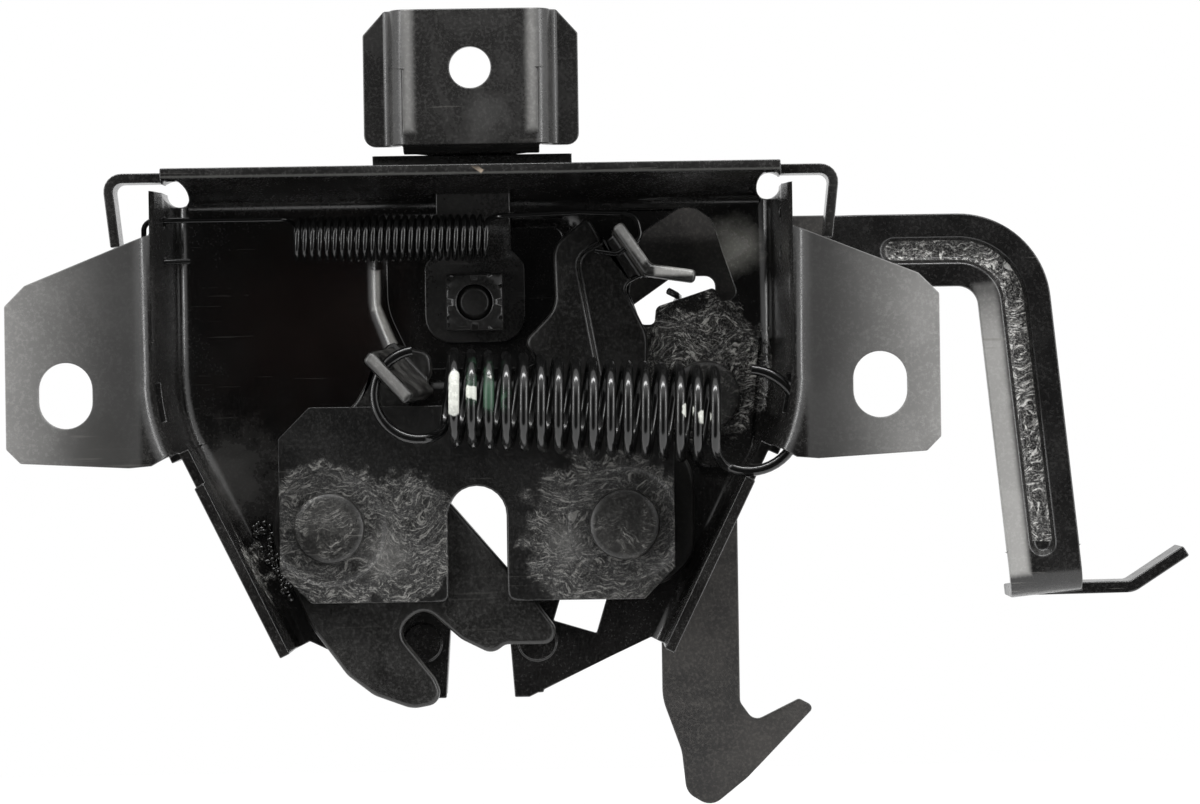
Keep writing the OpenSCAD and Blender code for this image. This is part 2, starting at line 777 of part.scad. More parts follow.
module safety_bush() {
    color(steel)
        difference() {
            union() {
                round_y(safety_x, safety_z, pad_back, hook_front - running_gap - pad_back, bush_r + 2.5);
                round_y(safety_x, safety_z, pad_back, washer_front - pad_back, bush_r);
            }
            round_y(safety_x, safety_z, 0, far, rivet_r + fit_gap);
        }
}
module safety_washer() {
    color(steel)
        difference() {
            round_y(safety_x, safety_z, washer_front, washer_t, safety_coil_r + safety_wire_r + 0.6);
            round_y(safety_x, safety_z, 0, far, rivet_r + fit_gap);
        }
}

// Fork that catches the striker
fork_hub_r = 9.8;
fork_outline = [
    [-34.2, -27, 6], [-28.3, -40.2, 8], [-22.5, -48.1, 5], [-18, -51.6, 5], [-11.5, -54, 5],
    [-6, -53, 2.2], [-7.6, -48.9, 3], [-14.2, -40.6, 2.9], [-9.4, -36.6, 2.9], [-3, -42.3, 6],
    [2.2, -44.9, 2.5], [4.4, -43.25, 2], [12.7, -43.3, 2], [13, -40.5, 1.6], [9.7, -35.9, 8],
    [-13.2, -8.9, 9], [-10.2, -0.4, 3], [-7.4, 2.6, 2], [-7.6, 6.6, 2], [-14.6, 8.2, 3],
    [-20.4, -1.6, 6], [-34.2, -17, 6]
];
fork_lug_turn = 47;
fork_lug_front = 0.8;
fork_lug_len = 10.2;
module fork_lug_slice(x, z, y, t) {
    translate([x, y, z])
        rotate([0, fork_lug_turn, 0])
            translate([-fork_lug_len / 2, 0, -fork_lug_t / 2])
                cube([fork_lug_len, t, fork_lug_t]);
}
module fork() {
    color(black)
        difference() {
            union() {
                plate(fork_front, fork_t) {
                    polygon(rounded(fork_outline));
                    translate([-pivot_x, pivot_z])
                        circle(fork_hub_r);
                }
                hull() {
                    fork_lug_slice(-11.2, 3, fork_front, fork_t / 2);
                    fork_lug_slice(-14.2, 2.2, fork_lug_front, 0.5);
                }
            }
            round_y(-pivot_x, pivot_z, 0, far, bush_r + running_gap);
            translate([-15.2, fork_coil_y, 3.9])
                rotate([0, 40, 0])
                    cylinder(h = 12, r = fork_wire_r + 0.6, center = true);
        }
}

// Pawl that holds the fork shut, with its release lug
pawl_outline = [
    [36.9, -14, 8], [36.9, -29, 7], [31, -34, 6], [20, -32, 6], [17.6, -26, 4], [17.5, -18, 3],
    [15.1, -9.7, 0.4], [17.5, -7.7, 0.8], [13, 0, 6], [8.3, 8.1, 2], [13.8, 13.8, 5], [13.5, 24.5, 4],
    [19.5, 29.2, 0.8], [21.9, 25, 0.6], [23.9, 26.4, 0], [28.9, 19.2, 0.6], [25.4, 17.4, 1.4], [29.4, 9, 5],
    [29.2, -3, 10]
];
pawl_band = [
    [8.3, 8.1, 2], [13.8, 13.8, 5], [13.5, 24.5, 4], [19.5, 29.2, 0.8], [21.9, 25, 0.6],
    [17.4, 22.4, 3], [19.2, 12, 4], [21.4, 0, 4], [20, -12, 3], [17.5, -7.7, 0.8], [13, 0, 6]
];
pawl_lug_front = 4.5;
pawl_lug_path = [[23.5, 26.8, 0], [28.8, 18.8, 1.6], [37.3, 17.5, 0]];
pawl_eye = [pivot_x + 1.8, pivot_z + 47.1];
module pawl() {
    color(black)
        difference() {
            union() {
                plate(pawl_front, pawl_t)
                    polygon(rounded(pawl_outline));
                plate(fork_front, pawl_front - fork_front + 0.5)
                    polygon(rounded(pawl_band));
                plate(fork_front, fork_t)
                    translate([pivot_x, pivot_z])
                        circle(bush_r + 2);
                plate(pawl_lug_front, fork_back - pawl_lug_front)
                    intersection() {
                        polygon(sheet_outline(pawl_lug_path, pawl_lug_t));
                        translate([10, 18.4])
                            square(20);
                    }
                plate(pawl_lug_front, 8)
                    polygon(sheet_outline(pawl_lug_path, pawl_lug_t));
            }
            round_y(pivot_x, pivot_z, 0, far, bush_r + running_gap);
            translate([pawl_eye[0], pawl_coil_y, pawl_eye[1]])
                rotate([0, 55, 0])
                    cylinder(h = 6, r = pawl_wire_r + 0.8, center = true);
        }
}

// Springs
fork_coil_x = -5.3;
fork_coil_z = -1;
fork_coil_tilt = 4.7;
module fork_spring() {
    axis = [cos(fork_coil_tilt), 0, -sin(fork_coil_tilt)];
    down = [-sin(fork_coil_tilt), 0, -cos(fork_coil_tilt)];
    out = [0, 1, 0];
    start = [fork_coil_x, fork_coil_y, fork_coil_z];
    lead = 50;
    last = 360 * fork_turns - lead;
    coil = helix(start, axis, down, out, fork_coil_r, fork_pitch, lead, last, 14);
    left_hook = arc_xz(-9.2, fork_coil_y, -0.6, fork_coil_r, 98, 275, 14);
    end = start + axis * fork_pitch * fork_turns;
    right_hook = arc_xz(end[0] + 5, fork_coil_y, end[2] - 0.9, 8.5, -112, 86, 16);
    in_way = helix_way(axis, down, out, fork_coil_r, fork_pitch, lead);
    out_way = helix_way(axis, down, out, fork_coil_r, fork_pitch, last);
    path = concat(
        left_hook,
        between(left_hook[14], 5 * [1, 0, 0.1], coil[0], 6 * in_way, 5),
        coil,
        between(coil[len(coil) - 1], 6 * out_way, right_hook[0], 5 * [0.93, 0, -0.37], 5),
        right_hook);
    color(steel)
        wire(path, fork_wire_r, 8, [0, 1, 0]);
}
pawl_coil_x = -30.3;
pawl_coil_z = 25.8;
pawl_anchor_z = [pawl_coil_z + pawl_coil_r, 22.4];
function pawl_end(x, z, r) = [pawl_eye[0] + x, pawl_eye[1] + z, r];
function lifted(points, y) = [for (p = points) [p[0], y, p[1]]];
module pawl_spring() {
    up = [0, 0, 1];
    out = [0, 1, 0];
    axis = [1, 0, 0];
    start = [pawl_coil_x, pawl_coil_y, pawl_coil_z];
    lead = 50;
    last = 360 * pawl_turns - lead;
    coil = helix(start, axis, up, out, pawl_coil_r, pawl_pitch, lead, last, 10);
    top_z = pawl_coil_z + pawl_coil_r;
    left_leg = lifted(bent([
        [2.9 - pan_half_w, pawl_anchor_z[1], 0], [-pan_half_w - 4.9, pawl_anchor_z[1], 1.6],
        [-pan_half_w - 4.9, top_z, 1.6],
        [pawl_coil_x - 2.2, top_z, 0]
    ]), pawl_coil_y);
    end_x = pawl_coil_x + pawl_pitch * pawl_turns;
    right_leg = lifted(bent([
        [end_x + 2.2, top_z, 0], [pawl_eye[0] - 8.8, top_z + 0.4, 6], [pawl_eye[0] + 0.8, top_z, 2.2],
        pawl_end(1.6, 1.3, 1.6), pawl_end(-2.4, -1.5, 1.6), pawl_end(-6.2, -0.9, 0)
    ]), pawl_coil_y);
    path = concat(
        left_leg,
        between(left_leg[len(left_leg) - 1], [3, 0, 0], coil[0],
            3 * helix_way(axis, up, out, pawl_coil_r, pawl_pitch, lead), 4),
        coil,
        between(coil[len(coil) - 1], 3 * helix_way(axis, up, out, pawl_coil_r, pawl_pitch, last),
            right_leg[0], [3, 0, 0], 4),
        right_leg);
    color(steel)
        wire(path, pawl_wire_r, 6, [0, 1, 0]);
}
module safety_spring() {
    axis = [0, 1, 0];
    first = [0, 0, 1];
    side = [-1, 0, 0];
    start = [safety_x, safety_coil_y, safety_z];
    coil = helix(start, axis, first, side, safety_coil_r, safety_pitch, 90, 360 * safety_turns + 90, 14);
    back_y = safety_coil_y + safety_pitch * safety_turns;
    upper_leg = [
        [safety_x - 6, pad_front + 0.6, safety_z + 18],
        [safety_x - 4.6, pad_front + 1.4, safety_z + 17.3],
        [safety_x - 4.2, pad_front + 3.2, safety_z + 17],
        [safety_x - 4.4, safety_coil_y - 2, safety_z + 16.4],
        [safety_x - 5.6, safety_coil_y - 0.2, safety_z + 14],
        [safety_x - safety_coil_r, safety_coil_y, safety_z + 5.5]
    ];
    lower_leg = [
        [safety_x + 3, back_y + safety_pitch / 4, safety_z - safety_coil_r - 0.2],
        [safety_x + 7, back_y, safety_z - safety_coil_r - 2]
    ];
    color(steel)
        wire(concat(upper_leg, coil, lower_leg), safety_wire_r, 8, [1, 0, 0]);
}

// Safety hook and the release handle that works it
hook_outline = [
    [23.5, 29.2, 2], [23.5, 11.8, 0.8], [34, 19.1, 2], [41.2, 19.1, 1.8], [41.2, 10, 4], [31.1, 5, 6],
    [31.1, -53.5, 10], [34.3, -62.5, 10], [35, -69.6, 3], [39.2, -72.2, 3], [45.5, -67.2, 10],
    [57.2, -55.2, 0.8],
    [54.6, -53.8, 0.8], [46.8, -57.6, 1.8], [44.4, -54.2, 2], [44.4, -14, 5], [49, -4, 8],
    [53.5, 8, 6], [53.5, 16.7, 1], [61, 16.7, 1], [61, 29.2, 1], [45.5, 29.2, 2], [43, 33, 2],
    [30, 33, 2], [28, 29.2, 2]
];
module safety_hook() {
    color(matte)
        difference() {
            plate(hook_front, hook_t)
                polygon(rounded(hook_outline));
            round_y(safety_x, safety_z, 0, far, bush_r + running_gap);
        }
}
handle_y = hook_front + 0.3;
lap_y = hook_back + fit_gap;
bend_z = handle_top - handle_bend_r;
strip_in = handle_bend_r - handle_w;
strip_mid = handle_bend_r - handle_w / 2;
bend_steps = 20;
end_steps = 5;
joggle_x = 66;
groove_flare = 1;
function bend_spot(r, angle) = [handle_bend_x + r * cos(angle), bend_z + r * sin(angle)];
function leg_spot(r, along) =
    bend_spot(r, handle_lean) + along * [sin(handle_lean), -cos(handle_lean)];
function edges(middle, way, half) = [middle + half * way, middle - half * way];
function strip(half, start_x, leg, round_ends) =
    let (
        up = [0, 1],
        out = [cos(handle_lean), sin(handle_lean)],
        turns = round_ends ? [for (i = [0:end_steps]) 80 * i / end_steps] : [0]
    )
    concat(
        [for (i = [len(turns) - 1:-1:0])
            edges([start_x - half * sin(turns[i]), bend_z + strip_mid], up, half * cos(turns[i]))],
        [for (i = [0:bend_steps])
            let (a = 90 - (90 - handle_lean) * i / bend_steps)
            edges(bend_spot(strip_mid, a), [cos(a), sin(a)], half)],
        [for (a = turns)
            edges(leg_spot(strip_mid, leg + half * sin(a)), out, half * cos(a))]);
module bead(y1, half1, y2, half2) {
    start_x = joggle_x + 6;
    leg = leg_len - 9;
    front = strip(half1, start_x, leg, true);
    back = strip(half2, start_x, leg, true);
    skin([for (i = [0:len(front) - 1]) [
        [front[i][0][0], y1, front[i][0][1]], [front[i][1][0], y1, front[i][1][1]],
        [back[i][1][0], y2, back[i][1][1]], [back[i][0][0], y2, back[i][0][1]]
    ]]);
}
module release_handle() {
    inset = 0.05;
    groove_floor = handle_y + groove_depth;
    flat = strip(handle_w / 2, joggle_x + 2, leg_len - 8, false);
    joggle = [
        [joggle_x - 20, lap_y, 0], [joggle_x - 4.5, lap_y, 3],
        [joggle_x, handle_y, 3], [joggle_x + 4, handle_y, 0]
    ];
    foot = [
        [handle_y, 10 - leg_len, 0], [handle_y, -leg_len, 5], [handle_y + tab_depth, -leg_len, 0]
    ];
    tab = [
        [strip_in + 4, -leg_len, 0], [handle_bend_r + tab_len, -leg_len - tab_dip, 4],
        [handle_bend_r + tab_len + tab_end * cos(tab_rise), tab_end * sin(tab_rise) - leg_len - tab_dip, 0]
    ];
    color(black)
        difference() {
            union() {
                translate([0, 0, handle_top - handle_w])
                    linear_extrude(handle_w)
                        polygon(sheet_outline(joggle, handle_t));
                plate(handle_y, handle_t)
                    polygon(concat([for (e = flat) e[0]], backward([for (e = flat) e[1]])));
                bead(handle_y + 1, groove_half + 2 * groove_flare, groove_floor + handle_t, groove_half);
                translate([handle_bend_x, 0, bend_z])
                    rotate([0, -handle_lean, 0]) {
                        along_x(strip_in + inset, handle_w - 2 * inset)
                            polygon(sheet_outline(foot, handle_t));
                        plate(handle_y + 6, tab_depth - 6)
                            polygon(sheet_outline(tab, handle_t));
                    }
            }
            bead(
                handle_y - groove_depth, groove_half + groove_flare,
                groove_floor, groove_half - groove_flare);
        }
}

base_plate();
top_bracket();
bracket_nut();
bracket_bolt();
front_plate();
fork();
fork_bush();
fork_rivet();
fork_spring();
pawl();
pawl_bush();
pawl_rivet();
pawl_spring();
safety_hook();
release_handle();
safety_bush();
safety_rivet();
safety_washer();
safety_spring();
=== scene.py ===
"""Dress the bonnet latch: stamped and dip-coated sheet, greased pivots, coil springs and paint dabs."""

import logging
import math
from dataclasses import dataclass, field, replace
from enum import Enum
from typing import Iterable, Sequence

import bmesh
import bpy
from bpy.types import ID, Material, Mesh, Node, NodeSocket, NodeTree, Object, Scene
from mathutils import Matrix, Vector


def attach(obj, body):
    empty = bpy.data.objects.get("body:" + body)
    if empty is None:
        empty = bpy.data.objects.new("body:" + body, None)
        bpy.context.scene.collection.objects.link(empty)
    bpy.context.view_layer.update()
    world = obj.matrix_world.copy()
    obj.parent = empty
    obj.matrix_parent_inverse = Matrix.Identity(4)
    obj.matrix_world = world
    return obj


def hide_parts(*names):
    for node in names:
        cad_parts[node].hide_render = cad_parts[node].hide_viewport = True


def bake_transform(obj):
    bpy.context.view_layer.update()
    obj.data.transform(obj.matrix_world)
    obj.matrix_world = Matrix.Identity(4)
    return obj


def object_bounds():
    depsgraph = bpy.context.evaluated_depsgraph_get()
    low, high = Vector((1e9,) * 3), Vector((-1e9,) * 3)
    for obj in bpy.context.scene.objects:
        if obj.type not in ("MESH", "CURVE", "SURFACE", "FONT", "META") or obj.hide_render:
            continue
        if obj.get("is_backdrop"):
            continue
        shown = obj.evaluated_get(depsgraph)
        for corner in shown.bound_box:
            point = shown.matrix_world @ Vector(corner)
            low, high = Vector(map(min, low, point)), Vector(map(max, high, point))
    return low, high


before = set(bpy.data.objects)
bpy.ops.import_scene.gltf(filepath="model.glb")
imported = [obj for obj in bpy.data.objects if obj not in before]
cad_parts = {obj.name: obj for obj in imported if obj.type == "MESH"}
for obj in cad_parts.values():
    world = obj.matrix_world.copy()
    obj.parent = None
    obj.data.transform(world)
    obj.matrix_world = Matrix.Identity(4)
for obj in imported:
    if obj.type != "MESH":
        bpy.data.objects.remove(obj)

LOG = logging.getLogger("latch")
MM = 0.001
Colour = tuple[float, float, float]
Point = tuple[float, float, float]
Inputs = dict[str | int, object]
Sockets = bpy.types.bpy_prop_collection

# Limits for cleaning the solids and rounding their edges.
WELD = 0.002 * MM
FLAT_ANGLE = math.radians(0.6)
EDGE_ANGLE = math.radians(32)
SMOOTH_ANGLE = math.radians(60)

# Steps round each bend of a spring's legs.
CORNER_STEPS = 6

# Values that all coats share. Ragged is in millimetres.
SCRATCH_GREY = (0.16, 0.155, 0.145)
MOTTLE_ROUGH = 0.22
RIM_ROUGH = 0.62
RIM_GRIT = 0.05 * MM
GREASE_FILM = 0.22 * MM
GREASE_RAGGED = 3.0
GREASE_CORE = 0.5
SPECKLE = 0.7
COAT_ROUGH = 0.12
BUMP_STRENGTH = 0.7


class Body(str, Enum):
    """Names of the rigid bodies that pieces ride on."""

    BASE = "base"
    FORK = "fork_body"
    PAWL = "pawl_body"
    SAFETY = "safety_lever"


class Slot(str, Enum):
    """Names of the record's material slots."""

    PAN = "pan_black"
    LEVER = "lever_black"
    HOOK = "hook_matte"
    RIVET = "rivet_black"
    SPRING = "spring_black"


def shown(name: str, data: ID) -> Object:
    """Put data into the scene as a new object."""
    made = bpy.data.objects.new(name, data)
    bpy.context.scene.collection.objects.link(made)
    return made


def emptied(owner: ID) -> NodeTree:
    """Clear the node tree of a material or a world."""
    owner.use_nodes = True
    owner.node_tree.nodes.clear()
    return owner.node_tree


class NodeSheet:
    """A small helper that adds nodes to one tree and links them."""

    def __init__(self, tree: NodeTree) -> None:
        """Keep the tree that nodes go into."""
        self.tree = tree

    def add(self, kind: str, inputs: Inputs | None = None, **settings: object) -> Node:
        """Add one node.

        Args:
            kind: Blender's type name of the node.
            inputs: Socket or plain value for some of its inputs, by name or number.
            settings: Attributes to set on it.

        Returns:
            The new node.
        """
        node = self.tree.nodes.new(kind)
        for key, value in settings.items():
            setattr(node, key, value)
        self.fill(node, inputs or {})
        return node

    def fill(self, node: Node, inputs: Inputs) -> None:
        """Link or set inputs of a node.

        Args:
            node: The node.
            inputs: Socket or plain value for each input, by name or number.
        """
        for key, value in inputs.items():
            if isinstance(value, NodeSocket):
                self.tree.links.new(value, node.inputs[key])
            else:
                node.inputs[key].default_value = value

    def math(self, operation: str, first: object, second: object = 0.0) -> NodeSocket:
        """Add a Math node.

        Args:
            operation: Blender's name of the operation.
            first: Socket or number for the first input.
            second: Socket or number for the second input.

        Returns:
            The node's output.
        """
        return self.add("ShaderNodeMath", {0: first, 1: second}, operation=operation).outputs[0]

    def times(self, first: object, second: object) -> NodeSocket:
        """Multiply two values."""
        return self.math("MULTIPLY", first, second)

    def plus(self, first: object, second: object) -> NodeSocket:
        """Add two values."""
        return self.math("ADD", first, second)

    def ramp(self, value: object, low: object, high: object, to_low: object = 0.0,
             to_high: object = 1.0) -> NodeSocket:
        """Map a value smoothly from low..high to to_low..to_high.

        Args:
            value: Socket or number to map.
            low: Where the ramp starts.
            high: Where the ramp ends.
            to_low: Result at the start.
            to_high: Result at the end.

        Returns:
            The mapped value.
        """
        ends = {"Value": value, "From Min": low, "From Max": high, "To Min": to_low, "To Max": to_high}
        return self.add("ShaderNodeMapRange", ends, interpolation_type="SMOOTHSTEP").outputs["Result"]

    def mix(self, share: object, first: object, second: object) -> NodeSocket:
        """Mix two colours.

        Args:
            share: Socket or number, 0 for the first colour and 1 for the second.
            first: First colour.
            second: Second colour.

        Returns:
            The mixed colour.
        """
        # Inputs 6 and 7 and output 2 are the node's colours.
        colours = {key: value if isinstance(value, NodeSocket) else (*value, 1.0)
                   for key, value in ((6, first), (7, second))}
        return self.add("ShaderNodeMix", {0: share, **colours}, data_type="RGBA").outputs[2]

    def noise(self, vector: NodeSocket, scale: float, detail: float = 3.0, rough: float = 0.5,
              warp: float = 0.0) -> NodeSocket:
        """Add a noise texture.

        Args:
            vector: Coordinates to read.
            scale: Size of the grain, larger is finer.
            detail: Number of finer layers.
            rough: Strength of those layers.
            warp: Distortion.

        Returns:
            The noise value.
        """
        grain = {"Scale": scale, "Detail": detail, "Roughness": rough, "Distortion": warp}
        return self.add("ShaderNodeTexNoise", {"Vector": vector, **grain}).outputs["Fac"]

    def stretched(self, vector: NodeSocket, turn: Point, scale: Point) -> NodeSocket:
        """Turn and stretch coordinates.

        Args:
            vector: Coordinates to change.
            turn: Rotation in radians.
            scale: Stretch along each axis.

        Returns:
            The changed coordinates.
        """
        changes = {"Vector": vector, "Rotation": turn, "Scale": scale}
        return self.add("ShaderNodeMapping", changes).outputs["Vector"]


class ShaderEffect(str, Enum):
    """Shared shader groups, one for each effect of the finish."""

    GRAIN = "coat_grain"
    SMEAR = "grease_and_gloss_smear"
    SCRATCH = "handling_scratches"
    RIM = "cut_rim"
    SPOT = "round_spot"
    BAND = "box_band"


class EffectShelf:
    """Builds each shared shader group once."""

    def __init__(self) -> None:
        """Start with no group built."""
        self.built: dict[ShaderEffect, NodeTree] = {}

    def group(self, effect: ShaderEffect) -> NodeTree:
        """Give a group, building it the first time it is asked for.

        Args:
            effect: The effect wanted.

        Returns:
            The node group.
        """
        if effect not in self.built:
            getattr(self, effect.value)()
        return self.built[effect]

    def blank(self, effect: ShaderEffect, outputs: Iterable[str], vectors: Iterable[str] = (),
              **floats: float) -> tuple[NodeSheet, Sockets, Node]:
        """Start a shader group with named sockets, the first of them Vector, and keep it.

        Args:
            effect: The effect that the group makes.
            outputs: Name of each float output.
            vectors: Name of each further vector input.
            floats: Default of each float input, by its name in lower case.

        Returns:
            The node sheet, the group's input sockets and its output node.
        """
        tree = self.built[effect] = bpy.data.node_groups.new(effect.value, "ShaderNodeTree")
        for label in ("Vector", *vectors):
            tree.interface.new_socket(label, in_out="INPUT", socket_type="NodeSocketVector")
        for label, default in floats.items():
            socket = tree.interface.new_socket(label.title(), in_out="INPUT", socket_type="NodeSocketFloat")
            socket.default_value = default
        for label in outputs:
            tree.interface.new_socket(label, in_out="OUTPUT", socket_type="NodeSocketFloat")
        sheet = NodeSheet(tree)
        return sheet, sheet.add("NodeGroupInput").outputs, sheet.add("NodeGroupOutput")

    def coat_grain(self) -> None:
        """Fine orange peel and slow mottling of a dip coat."""
        sheet, enter, leave = self.blank(ShaderEffect.GRAIN, ("Height", "Mottle"))
        vector = enter["Vector"]
        fine = sheet.noise(vector, 2600.0, 2.0)
        grit = sheet.noise(vector, 7000.0, 1.0)
        slow = sheet.noise(vector, 90.0, 6.0, 0.62, 0.6)
        speck = sheet.ramp(sheet.noise(vector, 1900.0, 3.0, 0.7), 0.46, 0.68)
        both = sheet.plus(sheet.times(sheet.ramp(slow, 0.36, 0.7), 0.5), sheet.times(speck, 0.7))
        sheet.fill(leave, {"Height": sheet.plus(fine, sheet.times(grit, 0.5)),
                           "Mottle": sheet.math("MINIMUM", both, 1.0)})

    def grease_and_gloss_smear(self) -> None:
        """Wiped grease and painted gloss: streaks that drift, with some grit, and grow with the coverage."""
        sheet, enter, leave = self.blank(ShaderEffect.SMEAR, ("Mask", "Height"), coverage=0.5)
        vector, cover = enter["Vector"], enter["Coverage"]
        patch = sheet.noise(vector, 150.0, 5.0, 0.6, 0.8)
        wet = sheet.times(sheet.ramp(sheet.plus(patch, cover), 0.72, 1.12), sheet.ramp(cover, 0.0, 0.08))
        drift = sheet.add("ShaderNodeTexNoise", {"Vector": vector, "Scale": 130.0}).outputs["Color"]
        push = sheet.add("ShaderNodeVectorMath", {0: drift, 1: (0.011, 0.011, 0.011), 2: vector},
                         operation="MULTIPLY_ADD")
        swept = sheet.stretched(push.outputs["Vector"], (0.0, 0.7, 0.0), (1.0, 1.0, 3.0))
        streak = sheet.noise(swept, 640.0, 6.0, 0.76, 0.5)
        grit = sheet.noise(vector, 2600.0, 3.0, 0.7)
        fleck = sheet.plus(sheet.times(sheet.ramp(streak, 0.515, 0.61), 0.8),
                           sheet.ramp(grit, 0.46, 0.66, 0.0, 0.25))
        sheet.fill(leave, {"Mask": sheet.times(wet, fleck), "Height": sheet.times(wet, streak)})

    def handling_scratches(self) -> None:
        """Thin rubbed lines in two directions, broken up by a slow noise."""
        sheet, enter, leave = self.blank(ShaderEffect.SCRATCH, ("Mask",), amount=0.5)
        vector = enter["Vector"]
        lines: list[NodeSocket] = []
        for turn, scale in ((0.5, (40.0, 900.0, 1500.0)), (-0.95, (60.0, 900.0, 1900.0))):
            thin = sheet.noise(sheet.stretched(vector, (0.0, turn, 0.0), scale), 1.0, 2.0, 0.5, 0.2)
            lines.append(sheet.ramp(thin, 0.66, 0.72))
        breaks = sheet.ramp(sheet.noise(vector, 70.0, 4.0), 0.5, 0.68)
        broken = sheet.times(sheet.math("MAXIMUM", *lines), breaks)
        sheet.fill(leave, {"Mask": sheet.times(broken, enter["Amount"])})

    def cut_rim(self) -> None:
        """Mask of the cut edges, which face sideways, with the grit of a sheared face."""
        sheet, enter, leave = self.blank(ShaderEffect.RIM, ("Mask", "Height"), amount=0.5)
        vector = enter["Vector"]
        normal = sheet.add("ShaderNodeNewGeometry").outputs["True Normal"]
        parts = sheet.add("ShaderNodeSeparateXYZ", {0: normal})
        side = sheet.ramp(sheet.math("ABSOLUTE", parts.outputs["Y"]), 0.75, 0.35)
        grit = sheet.noise(vector, 1900.0, 4.0, 0.7)
        worn = sheet.ramp(sheet.noise(vector, 260.0, 4.0, 0.6), 0.35, 0.7)
        mask = sheet.times(sheet.times(side, worn), enter["Amount"])
        sheet.fill(leave, {"Mask": mask, "Height": sheet.times(grit, side)})

    def round_spot(self) -> None:
        """Soft ball-shaped mask round a place."""
        sheet, enter, leave = self.blank(
            ShaderEffect.SPOT, ("Mask",), ("Place",), radius=0.01, ragged=0.003, core=0.75)
        vector = enter["Vector"]
        away = sheet.add("ShaderNodeVectorMath", {0: vector, 1: enter["Place"]}, operation="DISTANCE")
        wander = sheet.math("SUBTRACT", sheet.noise(vector, 260.0, 4.0, 0.6), 0.5)
        ragged = sheet.times(wander, enter["Ragged"])
        reach = sheet.plus(away.outputs["Value"], sheet.times(ragged, 4.0))
        edge = sheet.times(enter["Radius"], enter["Core"])
        sheet.fill(leave, {"Mask": sheet.ramp(reach, enter["Radius"], edge)})

    def box_band(self) -> None:
        """Soft mask inside a box."""
        sheet, enter, leave = self.blank(ShaderEffect.BAND, ("Mask",), ("Low", "High"), soft=0.001)
        nearest: object = 1.0
        for first, second in (("Vector", "Low"), ("High", "Vector")):
            ends = {0: enter[first], 1: enter[second]}
            gap = sheet.add("ShaderNodeVectorMath", ends, operation="SUBTRACT").outputs[0]
            for side in sheet.add("ShaderNodeSeparateXYZ", {0: gap}).outputs:
                nearest = sheet.math("MINIMUM", nearest, side)
        sheet.fill(leave, {"Mask": sheet.ramp(nearest, 0.0, enter["Soft"])})


EFFECTS = EffectShelf()


class CoatSheet(NodeSheet):
    """The node sheet of one coat, with its object coordinates."""

    def __init__(self, tree: NodeTree) -> None:
        """Keep the tree and add its coordinates."""
        super().__init__(tree)
        self.where = self.add("ShaderNodeTexCoord").outputs["Object"]

    def effect(self, effect: ShaderEffect, **values: object) -> Sockets:
        """Place a shared group with values of its own.

        Args:
            effect: The effect to place.
            values: Inputs by name, in lower case. Without a vector, object coordinates are used.

        Returns:
            The group node's outputs.
        """
        node = self.add("ShaderNodeGroup", node_tree=EFFECTS.group(effect))
        self.fill(node, {"Vector": self.where, **{name.title(): values[name] for name in values}})
        return node.outputs


@dataclass(frozen=True)
class Spot:
    """A patch of another colour on a finish.

    Attributes:
        place: Centre, in millimetres.
        radius: Reach, in millimetres.
        colour: Colour of the patch.
        share: Strength of the patch.
        rough: Roughness there.
        ragged: How far its edge wanders, in millimetres.
        core: Share of the reach that is fully covered.
    """

    place: Point
    radius: float
    colour: Colour
    share: float = 1.0
    rough: float = 0.5
    ragged: float = 1.0
    core: float = 0.2

    def mask(self, sheet: CoatSheet) -> NodeSocket:
        """Mask the patch.

        Args:
            sheet: The coat's node sheet.

        Returns:
            The mask.
        """
        return sheet.effect(ShaderEffect.SPOT, place=Vector(self.place) * MM, radius=self.radius * MM,
                            ragged=self.ragged * MM, core=self.core)["Mask"]


@dataclass(frozen=True)
class Band:
    """A box-shaped patch of another tone on a finish.

    Attributes:
        low: Lowest corner, in millimetres.
        high: Highest corner, in millimetres.
        colour: Colour of the patch.
        share: Strength of the patch.
        rough: Roughness there.
        soft: Width of its soft edge, in millimetres.
        turn: Turn of the box about Y, in degrees.
    """

    low: Point
    high: Point
    colour: Colour
    share: float = 1.0
    rough: float = 0.5
    soft: float = 0.3
    turn: float = 0.0

    def mask(self, sheet: CoatSheet) -> NodeSocket:
        """Mask the patch.

        Args:
            sheet: The coat's node sheet.

        Returns:
            The mask.
        """
        turned = sheet.stretched(sheet.where, (0.0, math.radians(self.turn), 0.0), (1.0, 1.0, 1.0))
        return sheet.effect(ShaderEffect.BAND, vector=turned, low=Vector(self.low) * MM,
                            high=Vector(self.high) * MM, soft=self.soft * MM)["Mask"]


